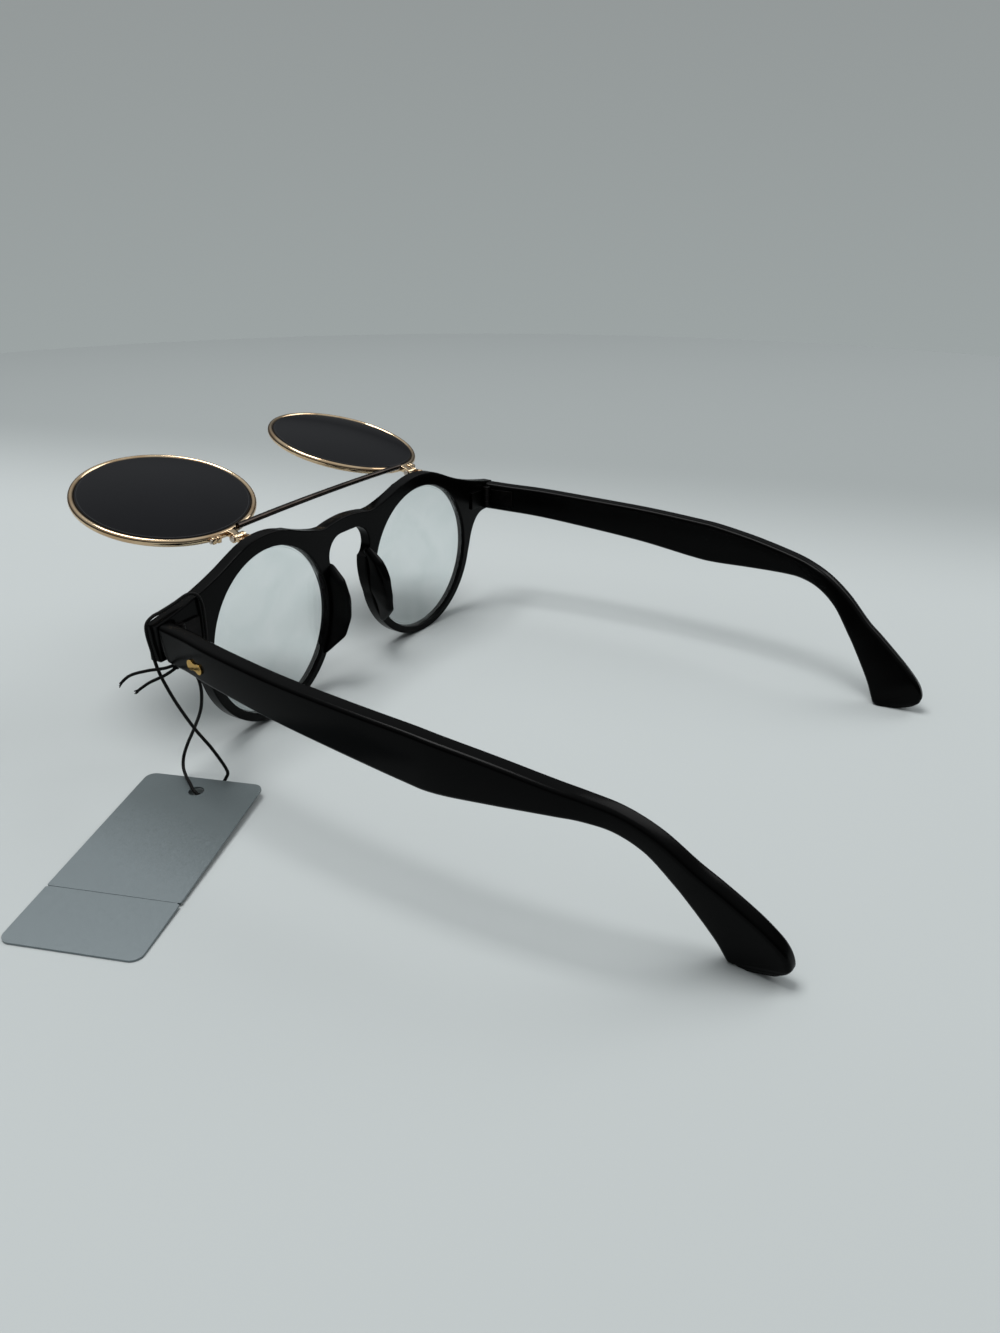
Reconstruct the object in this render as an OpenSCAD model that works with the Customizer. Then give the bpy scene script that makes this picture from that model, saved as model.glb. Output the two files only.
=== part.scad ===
// Flip-up sunglasses. A round black plastic front holds two clear lenses. A second
// pair of dark lenses in thin metal rims hangs from two small hinges on top of the
// front and is drawn swung up. Two temples fold on barrel hinges, and a blank card
// tag hangs from the left end piece on a thin cord and lies on the table.
// Sizes are millimetres. X runs to the wearer's left, Y to the tips of the temples
// and Z up. The table is at Z = 0, and the front stands on its two rims.

/* [Front] */
// Width of each lens opening
lens_w = 45; // [44:0.2:45.6]
// Gap between the two lens openings
bridge_w = 22; // [21.5:0.1:22.5]
// Outer radius of each rim
rim_r = 25.6; // [25.4:0.1:26]
// Height of the rim's centre above the lens centre
rim_rise = 0.9; // [0.7:0.1:1.1]
// Thickness of the front
front_t = 3.6; // [3.4:0.1:4]
// Full width over both end pieces
front_w = 144.8; // [144.2:0.2:146]
// Backward turn of each half of the front, in degrees
wrap_deg = 2.5; // [2:0.5:3]
// Height of the moulded nose pads behind the front
pad_depth = 6; // [4:0.5:6]
// Thickness of the clear lenses
clear_t = 2; // [1.8:0.1:2.2]

/* [Flip-up lenses] */
// Distance between the centres of the two metal rims
flip_pitch = 73.2; // [73:0.1:73.6]
// Radius of each metal rim, to the middle of its metal
flip_r = 22.7; // [22.5:0.1:22.9]
// Width of the metal of a rim, along its radius
flip_wire_w = 1.6; // [1.4:0.1:1.7]
// Depth of the metal of a rim, from front to back
flip_wire_d = 2; // [1.8:0.1:2.1]
// Angle from hanging down to swung up, in degrees
flip_deg = 104; // [90:0.5:110]
// Distance of each small hinge from the middle of the front
flip_hinge_x = 37; // [36.8:0.1:37.4]
// Diameter of the brow bar
bar_d = 1.6; // [1.4:0.1:1.8]
// Thickness of the dark lenses
dark_t = 1.6; // [1.4:0.1:1.7]

/* [Temples] */
// Thickness of a temple
temple_t = 4.2; // [4:0.1:4.4]
// Outward lean of the open left temple, in degrees
splay_left_deg = 8.1; // [6:0.1:9]
// Outward lean of the open right temple, in degrees
splay_right_deg = 5.7; // [5:0.1:8]
// Diameter of the temple hinge barrel
barrel_d = 2.4; // [2.2:0.1:2.4]
// Diameter of the temple hinge screw
screw_d = 1.2; // [1:0.1:1.3]

/* [Tag and cord] */
// Length of the tag
tag_l = 59; // [58:0.5:60]
// Width of the tag
tag_w = 29.6; // [28:0.2:31]
// Thickness of the card
tag_t = 0.5; // [0.4:0.1:0.6]
// Diameter of the cord
cord_d = 0.8; // [0.7:0.05:0.9]

/* [Hidden] */

$fn = 96;
// Running gap between a pin and its bore, on the radius
run_gap = 0.03;
// Gap between parts that are glued or pressed together, so that they only just meet
fit_gap = 0.02;
// Lens centre: its height over the table and its distance from the middle
lens_z = rim_r - rim_rise;
lens_x = (lens_w + bridge_w) / 2;
lens_r = lens_w / 2;
// Place of the front's rear face at its middle, so that the middle of the whole object,
// which leans more to its left, is at X = 0 and Y = 0
front_x = -1.26;
front_y = -46.45;
// Half width of the front
half_w = front_w / 2;
// Middle of the front's thickness
mid_y = -front_t / 2;
// Depth of the lens groove in the rims of the front
groove_d = 0.6;
// Rise of a clear lens and of a dark lens at its middle
clear_rise = 1.9;
dark_rise = 2;
// Gap between a lens and the rim that it is pressed into, outside and inside the groove
lens_gap = 0.05;
apex_gap = 0.06;
// How far a lens groove starts inside the opening, so that it cuts clean
groove_lead = 0.5;
lens_rows = 12;
// Rounded opening between the nose and the bridge: its radius, half its flat top, its height
keyhole_r = 5.7;
keyhole_x = 3.2;
keyhole_z = 12.1;
// Curves of the front's outline: end piece above and below, inner brow, bridge and nose
end_top = [[44, 24.5], [56, 18.6], [half_w, 15.8]];
end_low = [[67, 6.7], [61.8, 6.4], [59.1, -4]];
end_edge_z = 6.9;
brow_in = [[25, 25.3], [16.5, 22], [10.5, 21.1]];
bridge_top = [[9.5, 21.15], [5, 22.1], [0, 22.2]];
nose_side = [[6.6, 8], [5.9, 3.5], [7.8, -3]];
// Balls that a nose pad is wrapped around: place and radius
pad_balls = [
    [8.5, -1.6, 9.2, 1.4],
    [8.8, pad_depth - 4.4, 5.6, 1.8],
    [9.5, pad_depth - 2.5, 1, 2],
    [10.3, pad_depth - 2.1, -3.6, 2],
    [11.6, pad_depth - 3, -8.2, 1.9],
    [14, -1.6, -13.6, 1.5],
    [9.7, -1.8, -1.6, 1.7]
];
// How far a nose pad stays behind the lens opening
pad_margin = 1.2;

// Flip hinge: the pin's axis runs along X through this point
pin_y = -6.2;
pin_z = 25.6;
pin_r = 0.5;
ear_r = 1.1;
ear_t = 0.9;
knuckle_w = 2;
knuckle_r = 1;
arm_t = 1.6;
ear_gap = 0.05;
// Web that joins an ear to its plate
web_h = 1.2;
pin_head_r = 0.8;
pin_head_t = 0.35;
// Centre of a metal rim while it hangs down
flip_y = -5.8;
flip_z = -0.9;
flip_wrap = 4;
flip_groove_d = 0.4;
// Bevel on the four edges of a metal rim
wire_edge = 0.45;
// Brow bar while the rims hang down: its ends, and how far its middle dips
bar_half = 34.6;
bar_y = -7.4;
bar_z = 22.9;
bar_bow = 0.8;
bar_steps = 24;
bar_sides = 24;
// Clamp of a metal rim: two lugs on the rim with a slit between them
lug_turn = 12;
lug_w = 2.6;
lug_h = 1.5;
lug_t = 1.7;
lug_root = 0.3;
slit_w = 0.2;
rim_screw_up = 0.7;
rim_screw_r = 0.4;
rim_screw_head_r = 0.65;
rim_screw_head_t = 0.5;
// Bracket plate on the front of a rim
plate_w = 4.8;
plate_h = 3.6;
plate_t = 0.6;
plate_z = 24.2;
bracket_screw_r = 0.5;
bracket_head_r = 0.85;
bracket_head_t = 0.35;
bracket_screw_z = 23.8;

// Temple hinge: the screw's axis runs along Z through this point of a turned half
axis_x = 66.9;
axis_y = 1.55;
barrel_r = barrel_d / 2;
screw_r = screw_d / 2;
barrel_z = [8.4, 10.35, 12.45, 14.4];
barrel_gap = 0.05;
leaf_t = 0.7;
leaf_z = 8.7;
leaf_h = 5.4;
leaf_clear = 1.5;
front_leaf_l = 7;
temple_leaf_l = 9;
leaf_root = 0.2;
rivet_r = 0.5;
rivet_l = 1.8;
// Rivets from the hinge axis: along the front, and along a temple
front_rivets = [-5.6, -3.4];
temple_rivets_y = [3.2, 6.8];
screw_head_r = 1.1;
screw_head_t = 0.6;
slot_w = 0.3;

// Temple: outer face from the hinge axis, and the gap between it and the end piece
temple_out = 5.5;
butt_gap = 0.3;
// Rows along a temple: distance back from the axis, height of its middle, height of
// the temple, inward curl and thickness. The curl is measured from the straight line.
temple_rows = [
    [-4, 11.5, 8.8, 0, temple_t],
    [7, 11.3, 8.8, 0, temple_t],
    [19, 10.9, 9.1, -0.6, temple_t],
    [37.5, 9.9, 9.8, -0.2, temple_t],
    [55.5, 9, 10.7, 1.2, temple_t],
    [72, 7.8, 11.7, 3.4, temple_t],
    [79, 7.4, 11.5, 4.4, temple_t],
    [90, 7.2, 9.3, 6.9, temple_t],
    [101.4, 6.7, 6.5, 10, temple_t],
    [107.4, 6, 5.3, 12.4, temple_t - 0.2],
    [113.1, 4.2, 4.8, 15.2, temple_t - 0.2],
    [118.8, 0.4, 5.1, 18, temple_t - 0.2],
    [124.4, -5.6, 6.5, 20.8, temple_t - 0.2],
    [127.8, -9.1, 8.1, 22.3, temple_t - 0.2],
    [131.2, -12.8, 9.8, 23.8, temple_t - 0.2],
    [134.3, -16.4, 11.5, 25.2, temple_t - 0.3],
    [136.5, -19.4, 12.9, 26.2, temple_t - 0.4],
    [137.7, -21.4, 13.2, 26.7, temple_t - 0.6],
    [138.2, -22.7, 12.2, 27, temple_t - 0.9],
    [138.5, -23.6, 10, 27.1, temple_t - 1.4],
    [138.7, -24.2, 6.8, 27.2, temple_t - 2]
];
temple_steps = 3;
temple_corner = 1.1;
corner_points = 4;
// Slanting cut on the lower outer corner of a temple's front end
bevel_in = 1.4;
bevel_turn = 32;
bevel_lean = 18;
// Core wire inside a temple
core_y = 14;
core_l = 34;
core_w = 1.2;
core_h = 2.6;
core_z = 11.2;
core_slope = 2.2;
// Gold plate on the outside of a temple
badge_y = 13;
badge_z = 10.1;
badge_l = 5.6;
badge_h = 2.5;
badge_t = 0.6;
badge_proud = 0.2;
badge_swell = 0.33;
badge_turn = 3.4;
badge_slope = -3;
badge_waist = 0.7;
shank_r = 0.45;
shank_l = 1;
shank_apart = 2;

// Tag: the middle of its lower end on the table, its turn and the lift of its top end
tag_end = [126.5, 29.5];
tag_turn = 20;
tag_lift = 1.7;
tag_corner = 2.4;
tag_hole_d = 3.6;
tag_hole_in = 5.3;
// Tear-off line: its place along the tag, its width and depth, and the nicks at its ends
score_at = 0.72;
score_w = 0.2;
score_d = 0.12;
notch_d = 0.8;
// Knot and the route of the cord from the knot, through the tag and over the end
// piece back to the knot, measured from the middle of the front at lens height
knot_at = [69.2, 2.6, 5.2];
knot_r = 1.1;
cord_route = [
    [69.3, 3.4, 5.3], [69.5, 6, 5.5], [69.8, 8.6, 5.3], [70, 10.4, 3.8],
    [70, 10.7, 0.5], [69.7, 9.2, -4.5], [69.3, 5.8, -10.3], [69.4, 2.5, -15.8],
    [69.9, 1, -19.6], [71.3, 2, -21.6], [73.6, 5.4, -21.9], [75.2, 8.3, -21.9],
    [76.2, 10.4, -22.6], [76.1, 12, -23.4], [74.8, 13.1, -23.8], [72, 13.1, -23.9],
    [69.8, 12.8, -23.7], [68.5, 13.2, -22.5], [68.5, 13.9, -20], [71.2, 12.9, -13],
    [72.6, 9.5, -7.8], [73.2, 4.9, -1.4], [73.3, 1.3, 4.8], [73.2, -0.3, 10.4],
    [73.3, -0.8, 14], [72.8, -1, 16.1], [71, -1, 17.2], [68.4, -0.9, 17.6],
    [64.4, -0.5, 18.5], [61.2, 0.4, 19.7], [59.4, 1.5, 19.1], [58.6, 1.9, 16.6],
    [58.4, 1.8, 13], [58.6, 1.8, 8], [59.8, 1.9, 3], [62.6, 2.3, 0.8],
    [66, 2.6, 2.6], [68.4, 2.6, 4.6]
];
cord_steps = 2;
tail_a_route = [
    [70, 2.6, 5.5], [72.6, 2.5, 5.8], [76.4, 1.2, 6.4], [80.4, 0, 6.5], [83.3, -0.6, 4.9]
];
tail_b_route = [
    [69.9, 2.7, 4.6], [73.3, 2.9, 4.3], [77, 1.8, 3.7], [80.7, 1, 2.4]
];
tail_steps = 3;
cord_sides = 8;

// Points on a curve from the first of three points to the last that leans towards the second
function bend(p, n) = [
    for (i = [0:n]) let (t = i / n) p[0] * (1 - t) * (1 - t) + p[1] * 2 * t * (1 - t) + p[2] * t * t
];

// One point of a smooth curve between b and c
function between(a, b, c, d, t) =
    0.5 * (2 * b + (c - a) * t + (2 * a - 5 * b + 4 * c - d) * t * t
    + (3 * b - a - 3 * c + d) * t * t * t);

// A smooth curve through every row of a list
function smooth(rows, steps) = let (last = len(rows) - 1) concat(
    [
        for (i = [0:last - 1]) for (s = [0:steps - 1])
            between(rows[max(i - 1, 0)], rows[i], rows[i + 1], rows[min(i + 2, last)], s / steps)
    ],
    [rows[last]]
);

function unit(v) = v / norm(v);

// Direction of a path at point i
function heading(path, i) = unit(path[min(i + 1, len(path) - 1)] - path[max(i - 1, 0)]);

// A vector across the path at each point, carried along without twisting
function carried(path) = [
    for (
        i = 0, u = unit(cross(heading(path, 0), [0.31, 0.52, 0.79]));
        i < len(path);
        i = i + 1,
        u = unit(u - heading(path, min(i, len(path) - 1)) * (u * heading(path, min(i, len(path) - 1))))
    ) u
];

// Triangles between rings of points, and the two closed ends
function skin_faces(rings, sides) = concat(
    [
        for (i = [0:rings - 2]) for (j = [0:sides - 1]) for (half = [0:1])
            let (a = i * sides + j, b = i * sides + (j + 1) % sides)
            half == 0 ? [a, b, b + sides] : [a, b + sides, a + sides]
    ],
    [for (j = [1:sides - 2]) [0, j + 1, j]],
    [for (j = [1:sides - 2]) let (e = (rings - 1) * sides) [e, e + j, e + j + 1]]
);

// Round bar or cord along a path
module tube(path, d, sides) {
    across = carried(path);
    points = [
        for (i = [0:len(path) - 1])
            let (u = across[i], v = cross(u, heading(path, i)))
            for (j = [0:sides - 1]) let (a = 360 * j / sides) path[i] + d / 2 * (u * cos(a) + v * sin(a))
    ];
    polyhedron(points, skin_faces(len(path), sides), convexity = 12);
}

module mirrored(side) {
    mirror([side < 0 ? 1 : 0, 0, 0]) children();
}

// Puts children that are measured from lens height at the front into place
module at_front() {
    translate([front_x, front_y, lens_z]) children();
}

// Turns the left half of the front back about its lens centre
module turned_half() {
    translate([lens_x, 0, 0]) rotate([0, 0, wrap_deg]) translate([-lens_x, 0, 0]) children();
}

// Swings children from hanging down to swung up
module swung_up() {
    translate([0, pin_y, pin_z]) rotate([-flip_deg, 0, 0]) translate([0, -pin_y, -pin_z]) children();
}

// Turns an extrusion along Z into one from the rear face forward
module forward(y = 0) {
    translate([0, y, 0]) rotate([90, 0, 0]) children();
}

// Opening through the rims and the bridge, seen from the front
module keyhole() {
    for (x = [-keyhole_x, keyhole_x]) translate([x, keyhole_z]) circle(keyhole_r);
    translate([-keyhole_x, keyhole_z - keyhole_r]) square([2 * keyhole_x, 2 * keyhole_r]);
}

// Left half of the front seen from the front, before its lens opening is cut
module half_outline() {
    difference() {
        union() {
            translate([lens_x, rim_rise]) circle(rim_r);
            polygon(concat(
                bend(end_top, 10),
                [[half_w, end_edge_z]],
                bend(end_low, 8),
                [[50, -4], [40, 18]]
            ));
            polygon(concat(
                bend(brow_in, 6),
                bend(bridge_top, 5),
                [[-1, 22.2], [-1, 12]],
                bend(nose_side, 6),
                [[20, -3]]
            ));
        }
        keyhole();
    }
}

// Lens with a bevelled edge that fits a groove, bulging forward at its middle
module lens(open_r, edge_r, t, rise) {
    r = open_r - lens_gap;
    curve = (r * r + rise * rise) / (2 * rise);
    n = lens_rows;
    sag = [for (i = [0:n]) let (q = r * (1 - i / n)) [q, sqrt(curve * curve - q * q) - curve + rise]];
    rotate_extrude() polygon(concat(
        [[edge_r, 0]],
        [for (p = sag) [p[0], p[1] + t / 2]],
        [for (i = [n:-1:0]) [sag[i][0], sag[i][1] - t / 2]]
    ));
}

// Groove that a lens of the same sizes just fits
module lens_groove(open_r, edge_r, t) {
    apex = edge_r + apex_gap;
    base = open_r - groove_lead;
    half = t / 2 * (apex - base) / (edge_r - open_r + lens_gap);
    rotate_extrude() polygon([[apex, 0], [base, half], [base, -half]]);
}

// Moulded nose pad behind the nasal side of the left rim, cut clear of the lens opening
module nose_pad() {
    difference() {
        hull() for (b = pad_balls) translate([b[0], b[1], b[2]]) sphere(b[3], $fn = 24);
        turned_half() forward(pad_depth + 2) translate([lens_x, 0, 0])
            cylinder(r = lens_r + pad_margin, h = pad_depth + 2 + front_t);
    }
}

module half_front() {
    difference() {
        linear_extrude(front_t) half_outline();
        translate([lens_x, 0, -1]) cylinder(r = lens_r, h = front_t + 2);
        translate([lens_x, 0, front_t / 2]) lens_groove(lens_r, lens_r + groove_d, clear_t);
    }
}

// Left half of the front with its lens groove and the holes for its fittings
module cut_half() {
    difference() {
        turned_half() difference() {
            forward() half_front();
            for (x = front_rivets)
                translate([axis_x + x, -rivet_l, leaf_z + leaf_h / 2])
                    rotate([-90, 0, 0]) cylinder(r = rivet_r + fit_gap, h = rivet_l + 1, $fn = 32);
            translate([flip_hinge_x, -front_t - 1, bracket_screw_z])
                rotate([-90, 0, 0]) cylinder(r = bracket_screw_r + fit_gap, h = front_t + 2, $fn = 32);
        }
        translate([-20, -20, -60]) cube([20, 40, 120]);
    }
}

module front_frame() {
    color([0.04, 0.04, 0.05]) at_front() {
        for (side = [1, -1]) mirrored(side) {
            cut_half();
            nose_pad();
        }
    }
}

module clear_lens(side) {
    color([0.85, 0.9, 0.92, 0.35]) at_front() mirrored(side) turned_half()
        forward(mid_y) translate([lens_x, 0, 0]) lens(lens_r, lens_r + groove_d, clear_t, clear_rise);
}

// Barrels of a hinge between the given heights, with the bore for the screw
module barrels(spans) {
    for (s = spans)
        translate([0, 0, s[0] + barrel_gap / 2]) cylinder(r = barrel_r, h = s[1] - s[0] - barrel_gap);
}

module screw_bore() {
    translate([0, 0, barrel_z[0] - 2]) cylinder(r = screw_r + run_gap, h = 12);
}

module front_hinge(side) {
    ends = [[barrel_z[0], barrel_z[1]], [barrel_z[2], barrel_z[3]]];
    color([0.83, 0.66, 0.42]) at_front() mirrored(side)
        turned_half() translate([axis_x, axis_y, 0]) difference() {
            union() {
                barrels(ends);
                translate([-front_leaf_l, -axis_y, leaf_z]) cube([front_leaf_l - leaf_clear, leaf_t, leaf_h]);
                for (s = ends)
                    translate([-leaf_clear - leaf_root, -axis_y, max(s[0], leaf_z) + barrel_gap / 2])
                        cube([
                            leaf_clear + leaf_root, leaf_t,
                            min(s[1], leaf_z + leaf_h) - max(s[0], leaf_z) - barrel_gap
                        ]);
                for (x = front_rivets)
                    translate([x, -axis_y - rivet_l + fit_gap, leaf_z + leaf_h / 2])
                        rotate([-90, 0, 0]) cylinder(r = rivet_r, h = rivet_l, $fn = 32);
            }
            screw_bore();
        }
}

module hinge_screw(side) {
    color([0.78, 0.74, 0.68]) at_front() mirrored(side) turned_half() translate([axis_x, axis_y, 0])
        difference() {
            union() {
                translate([0, 0, barrel_z[0] - 0.3])
                    cylinder(r = screw_r, h = barrel_z[3] - barrel_z[0] + 0.4);
                translate([0, 0, barrel_z[3] + 0.02]) cylinder(r = screw_head_r, h = screw_head_t);
            }
            translate([-2, -slot_w / 2, barrel_z[3] + screw_head_t / 2]) cube([4, slot_w, 1]);
        }
}

// Ears that carry the flip hinge, on a plate screwed to the front of the rim
module flip_bracket(side) {
    color([0.83, 0.66, 0.42]) at_front() mirrored(side) difference() {
        union() {
            turned_half() translate([flip_hinge_x - plate_w / 2, -front_t - plate_t, plate_z - plate_h / 2])
                cube([plate_w, plate_t, plate_h]);
            for (x = [-knuckle_w / 2 - ear_gap - ear_t, knuckle_w / 2 + ear_gap])
                translate([flip_hinge_x + x, 0, 0]) {
                    translate([0, pin_y, pin_z]) rotate([0, 90, 0]) cylinder(r = ear_r, h = ear_t, $fn = 48);
                    translate([0, pin_y, pin_z - web_h / 2]) cube([ear_t, -front_t - pin_y - 0.2, web_h]);
                }
        }
        translate([flip_hinge_x - 4, pin_y, pin_z]) rotate([0, 90, 0])
            cylinder(r = pin_r + fit_gap, h = 8, $fn = 32);
        turned_half() translate([flip_hinge_x, -front_t - 2, bracket_screw_z])
            rotate([-90, 0, 0]) cylinder(r = bracket_screw_r + fit_gap, h = 3, $fn = 32);
    }
}

module bracket_screw(side) {
    color([0.78, 0.74, 0.68]) at_front() mirrored(side) turned_half()
        translate([flip_hinge_x, -front_t - plate_t - fit_gap, bracket_screw_z]) difference() {
            union() {
                rotate([-90, 0, 0]) cylinder(r = bracket_screw_r, h = front_t + plate_t, $fn = 32);
                rotate([90, 0, 0]) cylinder(r = bracket_head_r, h = bracket_head_t, $fn = 32);
            }
            translate([-slot_w / 2, -bracket_head_t - 0.1, -2]) cube([slot_w, 0.25, 4]);
        }
}

module flip_pin(side) {
    ear_out = knuckle_w / 2 + ear_gap + ear_t;
    color([0.9, 0.76, 0.55]) at_front() mirrored(side)
        translate([flip_hinge_x, pin_y, pin_z]) rotate([0, 90, 0]) {
            translate([0, 0, -ear_out - fit_gap])
                cylinder(r = pin_r, h = 2 * ear_out + 2 * fit_gap, $fn = 32);
            for (z = [-ear_out - fit_gap - pin_head_t, ear_out + fit_gap])
                translate([0, 0, z]) cylinder(r = pin_head_r, h = pin_head_t, $fn = 32);
        }
}

// Places children at the centre of the left metal rim, with its axis along Z
module at_flip_rim() {
    translate([flip_pitch / 2, flip_y, flip_z]) rotate([0, 0, flip_wrap]) rotate([90, 0, 0]) children();
}

// Places children at the middle of the clamp of the left metal rim
module at_clamp() {
    at_flip_rim() rotate([0, 0, -lug_turn]) translate([0, flip_r + flip_wire_w / 2, 0]) children();
}

module wire_ring() {
    a = flip_wire_w / 2;
    d = flip_wire_d / 2;
    c = wire_edge;
    rotate_extrude($fn = 120) translate([flip_r, 0]) polygon([
        [-a, -d + c], [-a + c, -d], [a - c, -d], [a, -d + c],
        [a, d - c], [a - c, d], [-a + c, d], [-a, d - c]
    ]);
}

module flip_rim(side) {
    inner = flip_r - flip_wire_w / 2;
    color([0.83, 0.66, 0.42]) at_front() mirrored(side) swung_up() difference() {
        union() {
            at_flip_rim() wire_ring();
            at_clamp() translate([-lug_w / 2, -lug_root, -lug_t / 2]) cube([lug_w, lug_h, lug_t]);
        }
        at_flip_rim() lens_groove(inner, inner + flip_groove_d, dark_t);
        at_clamp() translate([-slit_w / 2, -flip_wire_w - 1, -3]) cube([slit_w, 6, 6]);
        at_clamp() translate([-lug_w, rim_screw_up, 0]) rotate([0, 90, 0])
            cylinder(r = rim_screw_r + run_gap, h = 2 * lug_w, $fn = 32);
    }
}

module rim_screw(side) {
    color([0.78, 0.74, 0.68]) at_front() mirrored(side) swung_up() at_clamp()
        translate([0, rim_screw_up, 0]) rotate([0, 90, 0]) {
            translate([0, 0, -lug_w / 2]) cylinder(r = rim_screw_r, h = lug_w + fit_gap, $fn = 32);
            translate([0, 0, lug_w / 2 + fit_gap])
                cylinder(r = rim_screw_head_r, h = rim_screw_head_t, $fn = 32);
        }
}

module dark_lens(side) {
    inner = flip_r - flip_wire_w / 2;
    color([0.11, 0.11, 0.14]) at_front() mirrored(side) swung_up() at_flip_rim()
        lens(inner, inner + flip_groove_d, dark_t, dark_rise);
}

// Knuckle that turns on the pin, soldered to the top of the metal rim
module flip_knuckle(side) {
    color([0.83, 0.66, 0.42]) at_front() mirrored(side) swung_up() difference() {
        union() {
            translate([flip_hinge_x - knuckle_w / 2, pin_y, pin_z]) rotate([0, 90, 0])
                cylinder(r = knuckle_r, h = knuckle_w, $fn = 48);
            translate([flip_hinge_x - knuckle_w / 2, pin_y - arm_t / 2, flip_z + flip_r])
                cube([knuckle_w, arm_t, pin_z - flip_z - flip_r]);
        }
        translate([flip_hinge_x - 2, pin_y, pin_z]) rotate([0, 90, 0])
            cylinder(r = pin_r + run_gap, h = 4, $fn = 32);
        at_flip_rim() translate([0, 0, -3])
            cylinder(r = flip_r + flip_wire_w / 2 + fit_gap, h = 6, $fn = 120);
    }
}

module flip_bar() {
    line = [[-bar_half, bar_y, bar_z], [0, bar_y, bar_z - 2 * bar_bow], [bar_half, bar_y, bar_z]];
    color([0.83, 0.66, 0.42]) at_front() swung_up() difference() {
        tube(bend(line, bar_steps), bar_d, bar_sides);
        for (side = [1, -1]) mirrored(side) at_flip_rim() translate([0, 0, -2])
            cylinder(r = flip_r + flip_wire_w / 2 + fit_gap, h = 4, $fn = 120);
    }
}

// Outline of a temple's cross-section, as a box with round corners
function section(w, h, r, n) = [
    for (corner = [0:3]) for (i = [0:n - 1])
        let (
            a = corner * 90 + 90 * i / (n - 1),
            sx = corner == 0 || corner == 3 ? 1 : -1,
            sz = corner < 2 ? 1 : -1
        )
        [sx * (w / 2 - r) + r * cos(a), sz * (h / 2 - r) + r * sin(a)]
];

// Middle of a temple at a row
function temple_middle(row) = [temple_out - row[4] / 2 - row[3], row[0], row[1]];

// Solid temple, measured from the hinge axis, before anything is cut from it
module temple_blank() {
    rows = smooth(temple_rows, temple_steps);
    line = [for (row = rows) temple_middle(row)];
    points = [
        for (i = [0:len(rows) - 1])
            let (
                t = heading(line, i),
                up = unit([0, -t[2], t[1]]),
                out = unit(cross(t, up)),
                r = min(temple_corner, rows[i][4] / 2 - 0.1)
            )
            for (p = section(rows[i][4], rows[i][2], r, corner_points)) line[i] + out * p[0] + up * p[1]
    ];
    polyhedron(points, skin_faces(len(rows), 4 * corner_points), convexity = 6);
}

// Hourglass plate on the outside of a temple, lying in the plane X = 0
module badge_outline(extra) {
    for (s = [1, -1]) translate([s * (badge_l - badge_h) / 2, 0]) circle(badge_h / 2 + extra, $fn = 32);
    square([badge_l - badge_h, badge_h * badge_waist + 2 * extra], center = true);
}

// Places children that are measured from the plate's middle on the swelling outer face
module at_badge() {
    translate([temple_out + badge_swell, badge_y, badge_z]) rotate([0, 0, -badge_turn])
        rotate([badge_slope, 0, 0]) children();
}

module badge(extra) {
    at_badge() translate([badge_proud - badge_t, 0, 0]) rotate([90, 0, 90])
        linear_extrude(badge_t) badge_outline(extra);
}

module badge_shanks(extra) {
    at_badge() for (y = [-1, 1])
        translate([badge_proud - badge_t - shank_l, y * shank_apart / 2, 0]) rotate([0, 90, 0])
            cylinder(r = shank_r + extra, h = shank_l + badge_t / 2, $fn = 24);
}

module core_bar(extra) {
    translate([temple_out - temple_t / 2, core_y, core_z]) rotate([-core_slope, 0, 0])
        translate([-core_w / 2 - extra, -extra, -core_h / 2 - extra])
            cube([core_w + 2 * extra, core_l + 2 * extra, core_h + 2 * extra]);
}

module temple_rivets(r, l) {
    for (y = temple_rivets_y)
        translate([temple_out - temple_t, y, leaf_z + leaf_h / 2]) rotate([0, 90, 0])
            cylinder(r = r, h = l, $fn = 32);
}

module leaf_pocket() {
    translate([temple_out - temple_t - leaf_t, -2, leaf_z - fit_gap])
        cube([leaf_t + fit_gap, temple_leaf_l + 2 + fit_gap, leaf_h + 2 * fit_gap]);
}

// Places children that are measured from the left hinge axis, with the temple open
module opened(side) {
    lean = wrap_deg + (side > 0 ? splay_left_deg : splay_right_deg);
    turned_half() translate([axis_x, axis_y, 0]) rotate([0, 0, -lean]) children();
}

module temple(side) {
    color([0.04, 0.04, 0.05]) at_front() mirrored(side) difference() {
        opened(side) difference() {
            temple_blank();
            badge(fit_gap);
            badge_shanks(fit_gap);
            core_bar(fit_gap);
            temple_rivets(rivet_r + fit_gap, rivet_l);
            leaf_pocket();
        }
        turned_half() {
            translate([axis_x - 4, -10, 0]) cube([16, 10 + butt_gap, 24]);
            translate([half_w - bevel_in, butt_gap, end_edge_z]) rotate([0, bevel_lean, -bevel_turn])
                translate([0, -10, -15]) cube([10, 20, 30]);
        }
        translate([0, 100, -lens_z - 5]) cube([120, 60, 5]);
    }
}

module temple_core(side) {
    color([0.6, 0.6, 0.62]) at_front() mirrored(side) opened(side) core_bar(0);
}

module temple_hinge(side) {
    mid = [[barrel_z[1], barrel_z[2]]];
    inner = temple_out - temple_t;
    color([0.83, 0.66, 0.42]) at_front() mirrored(side) opened(side) difference() {
        union() {
            barrels(mid);
            translate([inner - leaf_t, leaf_clear, leaf_z])
                cube([leaf_t, temple_leaf_l - leaf_clear, leaf_h]);
            translate([inner - leaf_t, 0, mid[0][0] + barrel_gap / 2])
                cube([leaf_t, leaf_clear + leaf_root, mid[0][1] - mid[0][0] - barrel_gap]);
            temple_rivets(rivet_r, rivet_l - fit_gap);
        }
        screw_bore();
    }
}

module temple_plate(side) {
    color([0.83, 0.66, 0.42]) at_front() mirrored(side) opened(side) {
        badge(0);
        badge_shanks(0);
    }
}

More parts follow.
